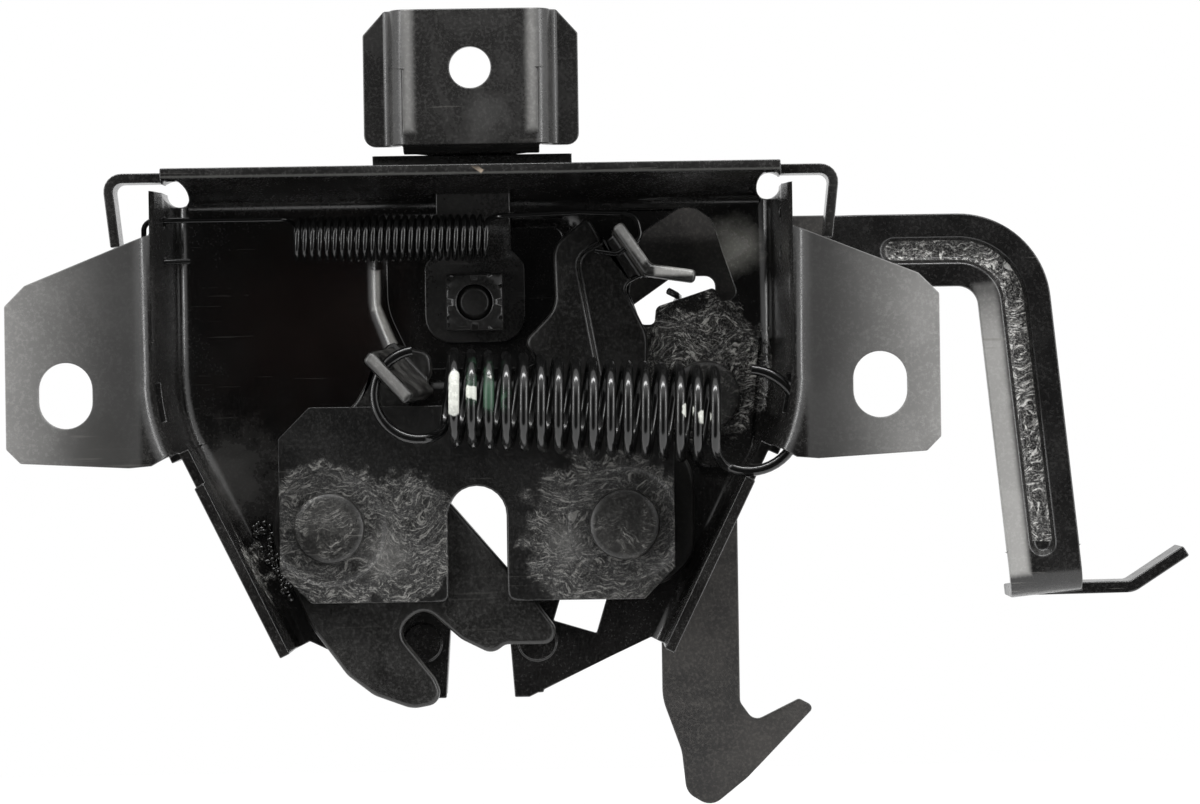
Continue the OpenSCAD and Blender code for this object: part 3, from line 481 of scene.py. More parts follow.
@dataclass(frozen=True)
class Finish:
    """One coat: its colours, gloss, grain, grease, scratches and rims.

    Attributes:
        name: The material's name.
        base: Main colour.
        pale: Colour where the coat is dusty or rubbed, and on the safety hook partly painted sheen.
        rough: Roughness of the clean coat.
        coat: Weight of the clear gloss on top.
        grain: Height of the orange peel, in millimetres.
        mottle: Share of the slow mottling.
        grease: Coverage of grease all over.
        grease_and_glint_colour: Colour of the grease, pale enough that its flecks also paint glints; in the
            handle's groove, a painted reflection.
        grease_rough: Roughness of the grease.
        grease_spots: Places where grease gathers, with their radius in millimetres.
        painted_gloss_boxes: Lowest and highest corners of boxes where the grease effect paints a crinkled
            gloss, in millimetres.
        scratch: Strength of the scratches.
        rim: Strength of the worn cut edges.
        rim_colour: Colour of the worn cut edges.
        spots: Round patches of other colours.
        bands: Box-shaped patches of other colours.
    """

    name: str
    base: Colour
    pale: Colour
    rough: float = 0.35
    coat: float = 0.0
    grain: float = 0.006
    mottle: float = 0.3
    grease: float = 0.0
    grease_and_glint_colour: Colour = (0.035, 0.034, 0.03)
    grease_rough: float = 0.3
    grease_spots: tuple[tuple[Point, float], ...] = ()
    painted_gloss_boxes: tuple[tuple[Point, Point], ...] = ()
    scratch: float = 0.2
    rim: float = 0.4
    rim_colour: Colour = (0.06, 0.06, 0.058)
    spots: tuple[Spot, ...] = ()
    bands: tuple[Band, ...] = ()

    def material(self) -> Material:
        """Build the material, or give the one that is built.

        Returns:
            The finished material.
        """
        known = bpy.data.materials.get(self.name)
        if known is not None:
            return known
        made = bpy.data.materials.new(self.name)
        sheet = CoatSheet(emptied(made))
        gloss = {"Coat Weight": self.coat, "Coat Roughness": COAT_ROUGH, "Specular IOR Level": 0.5}
        shader = sheet.add("ShaderNodeBsdfPrincipled", gloss)
        sheet.add("ShaderNodeOutputMaterial", {"Surface": shader.outputs["BSDF"]})
        self.colour_and_gloss(sheet, shader)
        return made

    def colour_and_gloss(self, sheet: CoatSheet, shader: Node) -> None:
        """Wire colour, roughness and bump into the shader.

        Args:
            sheet: The coat's node sheet.
            shader: The Principled BSDF.
        """
        grain = sheet.effect(ShaderEffect.GRAIN)
        rim = sheet.effect(ShaderEffect.RIM, amount=self.rim)
        scratch = sheet.effect(ShaderEffect.SCRATCH, amount=self.scratch)
        smear = sheet.effect(ShaderEffect.SMEAR, coverage=self.grease_cover(sheet))
        mottle = sheet.times(grain["Mottle"], self.mottle)
        colour = sheet.mix(mottle, self.base, self.pale)
        rough = sheet.plus(self.rough, sheet.times(mottle, MOTTLE_ROUGH))
        colour = sheet.mix(rim["Mask"], colour, self.rim_colour)
        rough = sheet.ramp(rim["Mask"], 0.0, 1.0, rough, RIM_ROUGH)
        # Patches: real tints and marks, and painted highlights, sheen, reflection and shade.
        for patch in self.bands + self.spots:
            mask = patch.mask(sheet)
            speckled = sheet.ramp(grain["Mottle"], 0.0, 1.0, patch.share * SPECKLE, patch.share)
            colour = sheet.mix(sheet.times(mask, speckled), colour, patch.colour)
            rough = sheet.ramp(mask, 0.0, 1.0, rough, patch.rough)
        # Grease flecks, pale enough to paint glints as well; in the handle's groove they paint a crinkled
        # reflection.
        colour = sheet.mix(smear["Mask"], colour, self.grease_and_glint_colour)
        rough = sheet.ramp(smear["Mask"], 0.0, 1.0, rough, self.grease_rough)
        colour = sheet.mix(scratch["Mask"], colour, SCRATCH_GREY)
        height = sheet.plus(sheet.plus(sheet.times(grain["Height"], self.grain * MM),
                                       sheet.times(rim["Height"], RIM_GRIT)),
                            sheet.times(smear["Height"], GREASE_FILM))
        bump = sheet.add("ShaderNodeBump", {"Strength": BUMP_STRENGTH, "Distance": 1.0, "Height": height})
        sheet.fill(shader, {"Base Color": colour, "Roughness": rough, "Normal": bump.outputs["Normal"]})

    def grease_cover(self, sheet: CoatSheet) -> object:
        """Work out how much grease lies at each place, and where the grease effect paints gloss.

        Args:
            sheet: The coat's node sheet.

        Returns:
            A number, or a socket where grease gathers, and gloss is painted, in places.
        """
        cover: object = self.grease
        spots = [Spot(place, radius, self.grease_and_glint_colour, ragged=GREASE_RAGGED, core=GREASE_CORE)
                 for place, radius in self.grease_spots]
        for patch in spots + [Band(low, high, self.grease_and_glint_colour) for low, high in self.painted_gloss_boxes]:
            cover = sheet.math("MAXIMUM", cover, patch.mask(sheet))
        return cover


# Lighter tone of the wings: painted light for the light their satin coat catches.
WING_LIT_TONE = (0.036, 0.0356, 0.0348)
# Pale satin tone: painted sheen on the wings' outer ends, the bracket's upright strips and a lever's arm.
PAINTED_SHEEN = (0.26, 0.257, 0.25)
EDGE_GREY = (0.03, 0.0305, 0.027)
# Near white: painted highlight along the left rim of the pan's channel.
CHANNEL_RIM_HIGHLIGHT = (0.8, 0.79, 0.75)
# Painted highlights on the dished front plate beside each rivet.
RIVET_DISH_HIGHLIGHT = (0.14, 0.138, 0.132)
# Painted sheen on the handle's inner strip.
HANDLE_STRIP_SHEEN = (0.34, 0.336, 0.326)
RUBBED = (0.1, 0.098, 0.092)
WHITE_PAINT = (0.62, 0.63, 0.58)
GREEN_PAINT = (0.05, 0.13, 0.075)
# Place, radius, share and raggedness of each dab, in millimetres apart from the share.
WHITE_DABS = (
    ((-2.9, -4.2, 2.2), 1.5, 1.0, 0.7), ((-3.0, -4.3, -0.6), 2.0, 1.0, 0.7),
    ((-3.2, -4.4, -2.8), 1.6, 1.0, 0.7), ((0.2, -4.4, -0.4), 1.3, 1.0, 0.9),
    ((3.1, -4.3, 2.3), 0.9, 0.9, 0.9), ((6.0, -4.4, 2.4), 0.8, 0.9, 0.9),
    ((35.6, -4.4, -3.8), 1.2, 0.9, 0.7), ((38.3, -4.4, -5.2), 1.5, 1.0, 0.7),
)
# Lean of the handle, in degrees.
HANDLE_LEAN = 5.8

PAN_COAT = Finish(
    "pan_coat", base=(0.0042, 0.004, 0.0039), pale=(0.024, 0.0234, 0.0225), rough=0.16, grain=0.003,
    # Pale grease: its flecks also paint glints.
    mottle=0.7, scratch=0.22, rim=0.0, grease_and_glint_colour=(0.55, 0.541, 0.51),
    grease_spots=(((38.0, 19.5, 3.0), 15.0), ((-36.0, 14.0, -29.0), 8.0)),
    bands=(
        # Wings painted lighter for the light they catch, and painted sheen growing towards their outer ends.
        Band((-80.0, -3.0, -16.0), (-54.6, 0.3, 32.0), WING_LIT_TONE, 1.0, 0.44, 1.5),
        Band((54.8, -3.0, -16.0), (80.0, 0.3, 32.0), WING_LIT_TONE, 1.0, 0.44, 1.5),
        Band((-120.0, -60.0, -80.0), (-58.0, 60.0, 80.0), PAINTED_SHEEN, 0.9, 0.48, 26.0),
        Band((57.0, -60.0, -80.0), (120.0, 60.0, 80.0), PAINTED_SHEEN, 0.9, 0.48, 24.0),
        Band((-54.0, -1.0, 35.0), (54.0, 0.12, 39.0), EDGE_GREY, 0.9, 0.6, 0.1),
        Band((-23.2, -1.0, 29.9), (-20.1, 0.3, 30.8), (0.34, 0.27, 0.2), 0.9, 0.6, 0.3, -36.9),
        # Painted highlight along the channel's left rim.
        Band((-17.9, 17.0, 13.6), (-16.0, 23.0, 21.0), CHANNEL_RIM_HIGHLIGHT, 0.9, 0.3, 0.6),
        Band((-10.9, 17.0, 12.6), (-9.0, 23.0, 20.2), CHANNEL_RIM_HIGHLIGHT, 0.9, 0.3, 0.6, 22.8),
    ),
    spots=(
        Spot((-28.0, 20.0, 12.0), 26.0, (0.0085, 0.0036, 0.0027), 0.7, 0.16, 6.0),
        Spot((-62.0, -1.0, -9.0), 9.0, (0.03, 0.0295, 0.028), 0.7, 0.36, 2.0),
        # Painted reflection on the floor's lower left.
        Spot((-41.0, 20.0, -14.0), 12.0, (0.075, 0.073, 0.07), 0.7, 0.32, 5.0, 0.0),
        # Painted highlight on the floor at the right.
        Spot((44.0, 20.0, 24.0), 6.4, (0.6, 0.592, 0.54), 0.85, 0.3, 1.0, 0.0),
    ))
BRACKET_COAT = Finish(
    "bracket_coat", base=(0.012, 0.0117, 0.0114), pale=(0.044, 0.043, 0.0418), rough=0.24, grain=0.004,
    mottle=0.6, scratch=0.25, rim=0.2, rim_colour=(0.1, 0.098, 0.094),
    bands=(
        # Near black band: painted shade on the bracket's lower part, which bends away.
        Band((-14.0, 7.0, 38.0), (14.0, 30.0, 47.0), (0.003, 0.003, 0.003), 0.95, 0.16, 5.0),
        # Painted sheen: upright strips by the bracket's folds.
        Band((-12.2, -20.0, 43.0), (-8.8, 40.0, 70.0), PAINTED_SHEEN, 0.75, 0.34, 1.7),
        Band((8.8, -20.0, 43.0), (12.2, 40.0, 70.0), PAINTED_SHEEN, 0.75, 0.34, 1.7),
    ),
    spots=(Spot((2.0, 8.0, 46.0), 7.5, (0.06, 0.059, 0.057), 0.4, 0.42, 3.0, 0.0),))
PLATE_COAT = Finish(
    "greased_plate", base=(0.0035, 0.0034, 0.0033), pale=(0.011, 0.0107, 0.0102), rough=0.3, mottle=0.7,
    # Grease pale enough that its flecks also paint glints.
    grease=0.1, grease_and_glint_colour=(0.19, 0.187, 0.177), grease_rough=0.2, rim=0.3,
    grease_spots=(((-25.0, 12.0, -25.0), 17.0), ((-13.0, 12.0, -25.0), 14.0), ((23.0, 12.0, -25.0), 19.0)),
    spots=(
        # Painted highlights beside the rivets.
        Spot((-15.6, 12.0, -27.5), 6.0, RIVET_DISH_HIGHLIGHT, 0.5, 0.3, 2.0, 0.0),
        Spot((15.4, 12.0, -26.0), 5.5, RIVET_DISH_HIGHLIGHT, 0.5, 0.3, 2.0, 0.0),
    ))
LEVER_COAT = Finish(
    "lever_coat", base=(0.0045, 0.0043, 0.004), pale=(0.018, 0.0175, 0.0165), rough=0.3, mottle=0.9,
    scratch=0.1, grease=0.14, grease_and_glint_colour=(0.1, 0.098, 0.09), rim=0.6, rim_colour=RUBBED,
    bands=(
        # Painted highlight on the pawl's lug.
        Band((30.2, -20.0, 18.4), (37.4, 40.0, 20.6), (0.38, 0.375, 0.36), 0.75, 0.3, 0.8),
        # Painted sheen on a lever's arm.
        Band((35.0, -20.0, -1.0), (37.0, 40.0, 8.0), PAINTED_SHEEN, 0.6, 0.36, 0.8, 37.0),
        # Painted highlight on the fork's lug.
        Band((-10.0, -20.0, 6.4), (-7.8, 40.0, 16.2), (0.22, 0.217, 0.21), 0.7, 0.36, 0.8, 42.0),
    ))
HANDLE_COAT = Finish(
    "handle_coat", base=(0.005, 0.0048, 0.0048), pale=(0.022, 0.0215, 0.021), rough=0.2, grain=0.003,
    # The grease effect paints a pale crinkled gloss in the handle's groove: painted reflection.
    mottle=0.6, scratch=0.8, rim=0.35, rim_colour=RUBBED, grease_and_glint_colour=(0.6, 0.592, 0.57),
    grease_rough=0.16, painted_gloss_boxes=(((68.0, 25.6, -27.5), (100.0, 26.6, 26.5)),),
    # Painted sheen on the handle's inner strip, fading towards its top.
    bands=tuple(Band((86.0, 18.0, -43.0), (91.4, 26.4, top), HANDLE_STRIP_SHEEN, 0.3, 0.42, 1.6, HANDLE_LEAN)
                for top in (9.0, 7.0, 5.0, 3.0, 1.0, -1.0)))
# Its pale mottle is partly the matte coat's dust and partly painted sheen.
HOOK_COAT = Finish(
    "hook_coat", base=(0.004, 0.0034, 0.003), pale=(0.042, 0.0385, 0.035), rough=0.55, grain=0.014,
    mottle=0.9, scratch=0.12, rim=0.5)
RIVET_COAT = Finish(
    "rivet_coat", base=(0.006, 0.0058, 0.0055), pale=(0.026, 0.0255, 0.024), rough=0.34, mottle=0.9,
    # Grease pale enough that its flecks also paint glints.
    grease=0.34, grease_and_glint_colour=(0.27, 0.265, 0.25), scratch=0.5, rim=0.1)
NUT_COAT = Finish(
    "nut_coat", base=(0.005, 0.0048, 0.0046), pale=(0.02, 0.0195, 0.019), rough=0.26, mottle=0.7, rim=0.3,
    scratch=0.3)
WIRE_COAT = Finish(
    "wire_coat", base=(0.003, 0.003, 0.003), pale=(0.009, 0.009, 0.0088), rough=0.14, grain=0.002,
    scratch=0.0, rim=0.0)
DAB_WIRE = replace(
    WIRE_COAT, name="dabbed_wire_coat", rough=0.13,
    spots=(
        Spot((2.6, -4.5, 0.5), 4.6, GREEN_PAINT, 0.5, 0.4, 3.2),
        *(Spot(place, radius, WHITE_PAINT, share, 0.5, ragged, 0.75)
          for place, radius, share, ragged in WHITE_DABS),
    ))
GREASE = Finish(
    "grease_lump", base=(0.009, 0.0088, 0.008), pale=(0.03, 0.029, 0.026), rough=0.16, coat=0.4, grain=0.01,
    mottle=0.4, scratch=0.0, rim=0.0)


def dress(mesh: Mesh, name: str, finish: Finish) -> Object:
    """Make a shown piece from a mesh.

    Args:
        mesh: The finished mesh.
        name: The piece's name.
        finish: Its coat.

    Returns:
        The new object.
    """
    mesh.materials.clear()
    mesh.materials.append(finish.material())
    piece = shown(name, mesh)
    return piece


def settled(piece: Object) -> Mesh:
    """Turn an object with modifiers into a plain mesh and remove the object.

    Args:
        piece: The object to settle.

    Returns:
        The evaluated mesh.
    """
    graph = bpy.context.evaluated_depsgraph_get()
    graph.update()
    mesh = bpy.data.meshes.new_from_object(piece.evaluated_get(graph), depsgraph=graph)
    piece.modifiers.clear()
    bpy.data.objects.remove(piece)
    return mesh


@dataclass
class StampedPiece:
    """A rigid piece that keeps its solid's form and gets broken edges and a coat.

    Attributes:
        node: The solid's name.
        body: The body it rides on.
        finish: Its coat.
        slot: The record's material slot; not used.
        edge: Width of the broken edge, in millimetres.
        rolls: Boxes, in millimetres, whose edges are rolled to a given width.
    """

    node: str
    body: Body
    finish: Finish
    slot: Slot
    edge: float = 0.25
    rolls: tuple[tuple[Point, Point, float], ...] = ()

    def build(self) -> Object:
        """Copy the solid, break its edges and dress it.

        Returns:
            The piece, riding on its body.
        """
        raw = shown(self.node + "_raw", self.cleaned())
        bevel = raw.modifiers.new("edge", "BEVEL")
        bevel.width = self.widest * MM
        bevel.segments = 3
        bevel.limit_method = "WEIGHT"
        bevel.use_clamp_overlap = False
        bevel.loop_slide = False
        normals = raw.modifiers.new("flats", "WEIGHTED_NORMAL")
        normals.keep_sharp = True
        normals.weight = 50
        piece = dress(settled(raw), self.node + "_dressed", self.finish)
        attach(piece, self.body.value)
        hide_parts(self.node)
        return piece

    @property
    def widest(self) -> float:
        """Widest broken or rolled edge, in millimetres."""
        return max([self.edge] + [width for _, _, width in self.rolls])

    def weigh(self, edge: bmesh.types.BMEdge) -> float:
        """Give an edge its share of the widest rounding.

        Args:
            edge: An edge of the solid.

        Returns:
            Nothing for a flat edge, and otherwise its width over the widest one.
        """
        if edge.calc_face_angle(0.0) < EDGE_ANGLE:
            return 0.0
        for low, high, width in self.rolls:
            if all(low[i] * MM <= vert.co[i] <= high[i] * MM for vert in edge.verts for i in range(3)):
                return width / self.widest
        return self.edge / self.widest

    def cleaned(self) -> Mesh:
        """Merge the solid's loose triangles and cut its flat faces into fewer, plainer ones.

        Returns:
            A new mesh in the frame's place.
        """
        sheet = bmesh.new()
        sheet.from_mesh(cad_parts[self.node].data)
        bmesh.ops.remove_doubles(sheet, verts=sheet.verts, dist=WELD)
        bmesh.ops.dissolve_degenerate(sheet, edges=sheet.edges, dist=WELD)
        bmesh.ops.dissolve_limit(sheet, angle_limit=FLAT_ANGLE, verts=sheet.verts, edges=sheet.edges)
        bmesh.ops.triangulate(sheet, faces=sheet.faces)
        weight = sheet.edges.layers.float.new("bevel_weight_edge")
        for edge in sheet.edges:
            edge[weight] = self.weigh(edge)
        for face in sheet.faces:
            face.smooth = True
        mesh = bpy.data.meshes.new(self.node + "_clean")
        sheet.to_mesh(mesh)
        sheet.free()
        mesh.set_sharp_from_angle(angle=SMOOTH_ANGLE)
        return mesh


def hermite(start: Vector, leave: Vector, end: Vector, arrive: Vector, steps: int) -> list[Vector]:
    """Points between two ends that leave and arrive in given directions.

    Args:
        start: First end.
        leave: Direction and speed at the first end.
        end: Second end.
        arrive: Direction and speed at the second end.
        steps: Number of stretches.

    Returns:
        The points between, without the ends.
    """
    points = []
    for i in range(1, steps):
        s = i / steps
        points.append((2 * s**3 - 3 * s**2 + 1) * start + (s**3 - 2 * s**2 + s) * leave
                      + (3 * s**2 - 2 * s**3) * end + (s**3 - s**2) * arrive)
    return points


def arc(centre: Point, radius: float, first: float, last: float, steps: int) -> list[Vector]:
    """Points on an arc in an X and Z plane.

    Args:
        centre: The arc's centre, in millimetres.
        radius: Its radius, in millimetres.
        first: Start angle in degrees, from +X towards +Z.
        last: End angle in degrees.
        steps: Number of stretches.

    Returns:
        The points on the arc.
    """
    angles = (math.radians(first + (last - first) * i / steps) for i in range(steps + 1))
    x, y, z = centre
    return [Vector((x + radius * math.cos(a), y, z + radius * math.sin(a))) for a in angles]


def rounded(points: Sequence[tuple[float, float, float]], y: float) -> list[Vector]:
    """Round the inner corners of an open path in an X and Z plane.

    Args:
        points: X, Z and corner radius of each point, in millimetres.
        y: Depth of the path, in millimetres.

    Returns:
        The rounded path.
    """
    path = [Vector((points[0][0], y, points[0][1]))]
    for before, here, after in zip(points, points[1:], points[2:]):
        a, b, c = (Vector((p[0], y, p[1])) for p in (before, here, after))
        u, w = (a - b).normalized(), (c - b).normalized()
        half = u.angle(w) / 2
        reach = here[2] / math.tan(half)
        start, end = b + u * reach, b + w * reach
        middle = b + (u + w).normalized() * here[2] / math.sin(half)
        for i in range(CORNER_STEPS + 1):
            spoke = (start - middle).lerp(end - middle, i / CORNER_STEPS).normalized()
            path.append(middle + spoke * here[2])
    path.append(Vector((points[-1][0], y, points[-1][1])))
    return path


@dataclass
class Helix:
    """The centre line of a coil whose axis lies square to Y.

    Attributes:
        start: A point on the axis, in millimetres.
        axis: Direction of the axis.
        first: Direction from the axis to the wire at the start, square to Y.
        radius: Mean radius of the coil, in millimetres.
        pitch: Distance between turns, in millimetres.
    """

    start: Vector
    axis: Vector
    first: Vector
    radius: float
    pitch: float

    def at(self, turn: float) -> Vector:
        """Give the wire's centre at an angle in degrees."""
        a = math.radians(turn)
        back = Vector((0.0, 1.0, 0.0))
        return (self.start + self.axis * self.pitch * turn / 360
                + self.radius * (self.first * math.cos(a) + back * math.sin(a)))

    def heading(self, turn: float) -> Vector:
        """Give the wire's direction at an angle in degrees."""
        return (self.at(turn + 0.5) - self.at(turn - 0.5)).normalized()

    def run(self, first: float, last: float, per_turn: int) -> list[Vector]:
        """Points along the coil.

        Args:
            first: Start angle in degrees.
            last: End angle in degrees.
            per_turn: Points for each turn.

        Returns:
            The points from first to last.
        """
        count = math.ceil((last - first) / 360 * per_turn)
        return [self.at(first + (last - first) * i / count) for i in range(count + 1)]


class NodeMill:
    """A Geometry Nodes tree with named inputs that turns a plain mesh into a shown piece."""

    def __init__(self, name: str, **inputs: str) -> None:
        """Start the tree with a geometry socket at both ends.

        Args:
            name: The tree's name.
            inputs: Kind of each further input, by name.
        """
        self.tree = bpy.data.node_groups.new(name, "GeometryNodeTree")
        face = self.tree.interface
        face.new_socket("Geometry", in_out="INPUT", socket_type="NodeSocketGeometry")
        self.keys = {label: face.new_socket(label, in_out="INPUT", socket_type="NodeSocket" + kind).identifier
                     for label, kind in {**inputs, "coat": "Material"}.items()}
        face.new_socket("Geometry", in_out="OUTPUT", socket_type="NodeSocketGeometry")
        self.sheet = NodeSheet(self.tree)
        self.enter = self.sheet.add("NodeGroupInput").outputs

    def finish_line(self, shaped: NodeSocket) -> None:
        """Lead geometry through smooth shading and the coat to the tree's end.

        Args:
            shaped: The last shaping node's output.
        """
        real = self.sheet.add("GeometryNodeRealizeInstances", {"Geometry": shaped})
        smooth = self.sheet.add("GeometryNodeSetShadeSmooth", {"Geometry": real.outputs["Geometry"]})
        coat = self.sheet.add("GeometryNodeSetMaterial", {
            "Geometry": smooth.outputs["Geometry"], "Material": self.enter["coat"]})
        self.sheet.add("NodeGroupOutput", {"Geometry": coat.outputs["Geometry"]})

    def grow(self, name: str, seed_mesh: Mesh, finish: Finish, slot: Slot,
             **values: float) -> Object:
        """Run the tree on a mesh and keep the result as a plain mesh.

        Args:
            name: The piece's name.
            seed_mesh: The mesh that the tree starts from.
            finish: The piece's coat.
            slot: The record's material slot; not used.
            values: Value of each input, by name.

        Returns:
            The piece.
        """
        holder = shown(name + "_holder", seed_mesh)
        nodes = holder.modifiers.new("mill", "NODES")
        nodes.node_group = self.tree
        for label, value in {**values, "coat": finish.material()}.items():
            nodes[self.keys[label]] = value
        return dress(settled(holder), name, finish)


class WireForge(NodeMill):
    """Draws wires along paths."""

    def __init__(self) -> None:
        """Build the tree: path, round section, shading, material."""
        super().__init__("drawn_wire", wire_radius="Float", wire_sides="Int")
        path = self.sheet.add("GeometryNodeMeshToCurve", {"Mesh": self.enter["Geometry"]})
        section = {"Radius": self.enter["wire_radius"], "Resolution": self.enter["wire_sides"]}
        ring = self.sheet.add("GeometryNodeCurvePrimitiveCircle", section, mode="RADIUS")
        drawn = self.sheet.add("GeometryNodeCurveToMesh", {
            "Curve": path.outputs["Curve"], "Profile Curve": ring.outputs["Curve"], "Fill Caps": True})
        self.finish_line(drawn.outputs["Mesh"])

    def draw(self, name: str, path: Sequence[Vector], radius: float, sides: int,
             finish: Finish) -> Object:
        """Draw one wire.

        Args:
            name: The piece's name.
            path: Centre line, in millimetres.
            radius: Wire radius, in millimetres.
            sides: Faces round the wire.
            finish: Its coat.

        Returns:
            The wire as a plain mesh object.
        """
        line = bpy.data.meshes.new(name + "_path")
        line.from_pydata([p * MM for p in path], [(i, i + 1) for i in range(len(path) - 1)], [])
        return self.grow(name, line, finish, Slot.SPRING, wire_radius=radius * MM, wire_sides=sides)


@dataclass
class Springs:
    """The latch's two tension springs, drawn as smooth wire over their solids.

    Attributes:
        forge: Draws the wires.
        fork_depth: Depth of the fork spring's axis, in millimetres.
        pawl_depth: Depth of the pawl spring's axis, in millimetres.
        fork_wire: Radius of the fork spring's wire, in millimetres.
        pawl_wire: Radius of the pawl spring's wire, in millimetres.
        lead: Part of the first and last turn that goes into the hooks, in degrees.
    """

    forge: WireForge = field(default_factory=WireForge)
    fork_depth: float = 3.2
    pawl_depth: float = 9.5
    fork_wire: float = 0.9
    pawl_wire: float = 0.47
    lead: float = 50.0

    def fork_spring(self) -> Object:
        """Draw the large tension spring with its two hooks.

        Returns:
            The spring.
        """
        tilt, turns, y, lead = math.radians(4.7), 16, self.fork_depth, self.lead
        axis = Vector((math.cos(tilt), 0.0, -math.sin(tilt)))
        down = Vector((-math.sin(tilt), 0.0, -math.cos(tilt)))
        coil = Helix(Vector((-5.3, y, -1.0)), axis, down, 7.45, 2.9)
        last = 360.0 * turns - lead
        end = coil.start + axis * coil.pitch * turns
        left = arc((-9.2, y, -0.6), coil.radius, 98, 275, 22)
        right = arc((end.x + 5.0, y, end.z - 0.9), 8.5, -112, 86, 26)
        path = left + hermite(left[-1], Vector((5.0, 0.0, 0.5)), coil.at(lead), coil.heading(lead) * 6, 8)
        path += coil.run(lead, last, 28)
        path += hermite(coil.at(last), coil.heading(last) * 6, right[0], Vector((4.65, 0.0, -1.85)), 8)
        spring = self.forge.draw("fork_spring_wire", path + right, self.fork_wire, 14, DAB_WIRE)
        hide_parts("fork_spring")
        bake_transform(spring)
        return spring

    def pawl_spring(self) -> Object:
        """Draw the small tension spring with its long legs.

        Returns:
            The spring.
        """
        turns, y, lead = 26, self.pawl_depth, self.lead
        coil = Helix(Vector((-30.3, y, 25.8)), Vector((1.0, 0.0, 0.0)), Vector((0.0, 0.0, 1.0)), 3.53, 1.27)
        last = 360.0 * turns - lead
        low, top = 22.4, coil.start.z + coil.radius
        left = rounded([(-47.6, low, 0), (-55.4, low, 1.6), (-55.4, top, 1.6), (-32.5, top, 0)], y)
        ahead = Vector((3.0, 0.0, 0.0))
        end_x = coil.start.x + coil.pitch * turns
        right = rounded([(end_x + 2.2, top, 0), (18, top + 0.4, 6), (27.6, top, 2.2), (28.4, 25.4, 1.6),
                         (24.4, 22.6, 1.6), (20.6, 23.2, 0)], y)
        path = left + hermite(left[-1], ahead, coil.at(lead), coil.heading(lead) * 3, 6)
        path += coil.run(lead, last, 20)
        path += hermite(coil.at(last), coil.heading(last) * 3, right[0], ahead, 6) + right
        spring = self.forge.draw("pawl_spring_wire", path, self.pawl_wire, 10, WIRE_COAT)
        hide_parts("pawl_spring")
        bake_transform(spring)
        return spring


class GreaseCrumbs(NodeMill):
    """Scatters lumps of grease over a patch."""

    def __init__(self) -> None:
        """Build the tree: scatter, lumps of random size, shading, material."""
        super().__init__("grease_crumbs", density="Float", lump_radius="Float", seed="Int")
        enter = self.enter
        spread = {"Mesh": enter["Geometry"], "Density": enter["density"], "Seed": enter["seed"]}
        strewn = self.sheet.add(
            "GeometryNodeDistributePointsOnFaces", spread, distribute_method="RANDOM").outputs
        ball = self.sheet.add("GeometryNodeMeshIcoSphere", {
            "Radius": enter["lump_radius"], "Subdivisions": 2})
        limits = {0: (0.45, 0.45, 0.35), 1: (1.5, 1.3, 0.75), "Seed": enter["seed"]}
        size = self.sheet.add("FunctionNodeRandomValue", limits, data_type="FLOAT_VECTOR")
        lumps = self.sheet.add("GeometryNodeInstanceOnPoints", {
            "Points": strewn["Points"], "Rotation": strewn["Rotation"], "Instance": ball.outputs["Mesh"],
            "Scale": size.outputs[0]})
        self.finish_line(lumps.outputs["Instances"])

    def scatter(self, name: str, outline: Sequence[Point], per_square: float, lump: float,
                seed: int) -> Object:
        """Scatter lumps over a flat patch.

        Args:
            name: The piece's name.
            outline: The patch's corners, in millimetres.
            per_square: Lumps for each square millimetre.
            lump: Mean radius of a lump, in millimetres.
            seed: Fixed seed.

        Returns:
            The lumps as one plain mesh object on the base.
        """
        patch = bpy.data.meshes.new(name + "_patch")
        patch.from_pydata([Vector(c) * MM for c in outline], [], [tuple(range(len(outline)))])
        piece = self.grow(name, patch, GREASE, Slot.RIVET, density=per_square / (MM * MM),
                          lump_radius=lump * MM, seed=seed)
        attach(piece, Body.BASE.value)
        return piece


@dataclass(frozen=True)
class SoftBox:
    """A rectangular lamp.

    Attributes:
        name: Its name.
        place: Its place, in metres.
        target: Where it points, in metres.
        width: Its width, in metres.
        height: Its height, in metres.
        power: Its power, in watts.
    """

    name: str
    place: Point
    target: Point
    width: float
    height: float
    power: float

    def hang(self) -> None:
        """Make the lamp and point it at its target."""
        lamp = bpy.data.lights.new(self.name, "AREA")
        lamp.shape = "RECTANGLE"
        lamp.size, lamp.size_y, lamp.energy = self.width, self.height, self.power
        aim = (Vector(self.target) - Vector(self.place)).to_track_quat("-Z", "Y")
        shown(self.name, lamp).matrix_world = Matrix.Translation(self.place) @ aim.to_matrix().to_4x4()


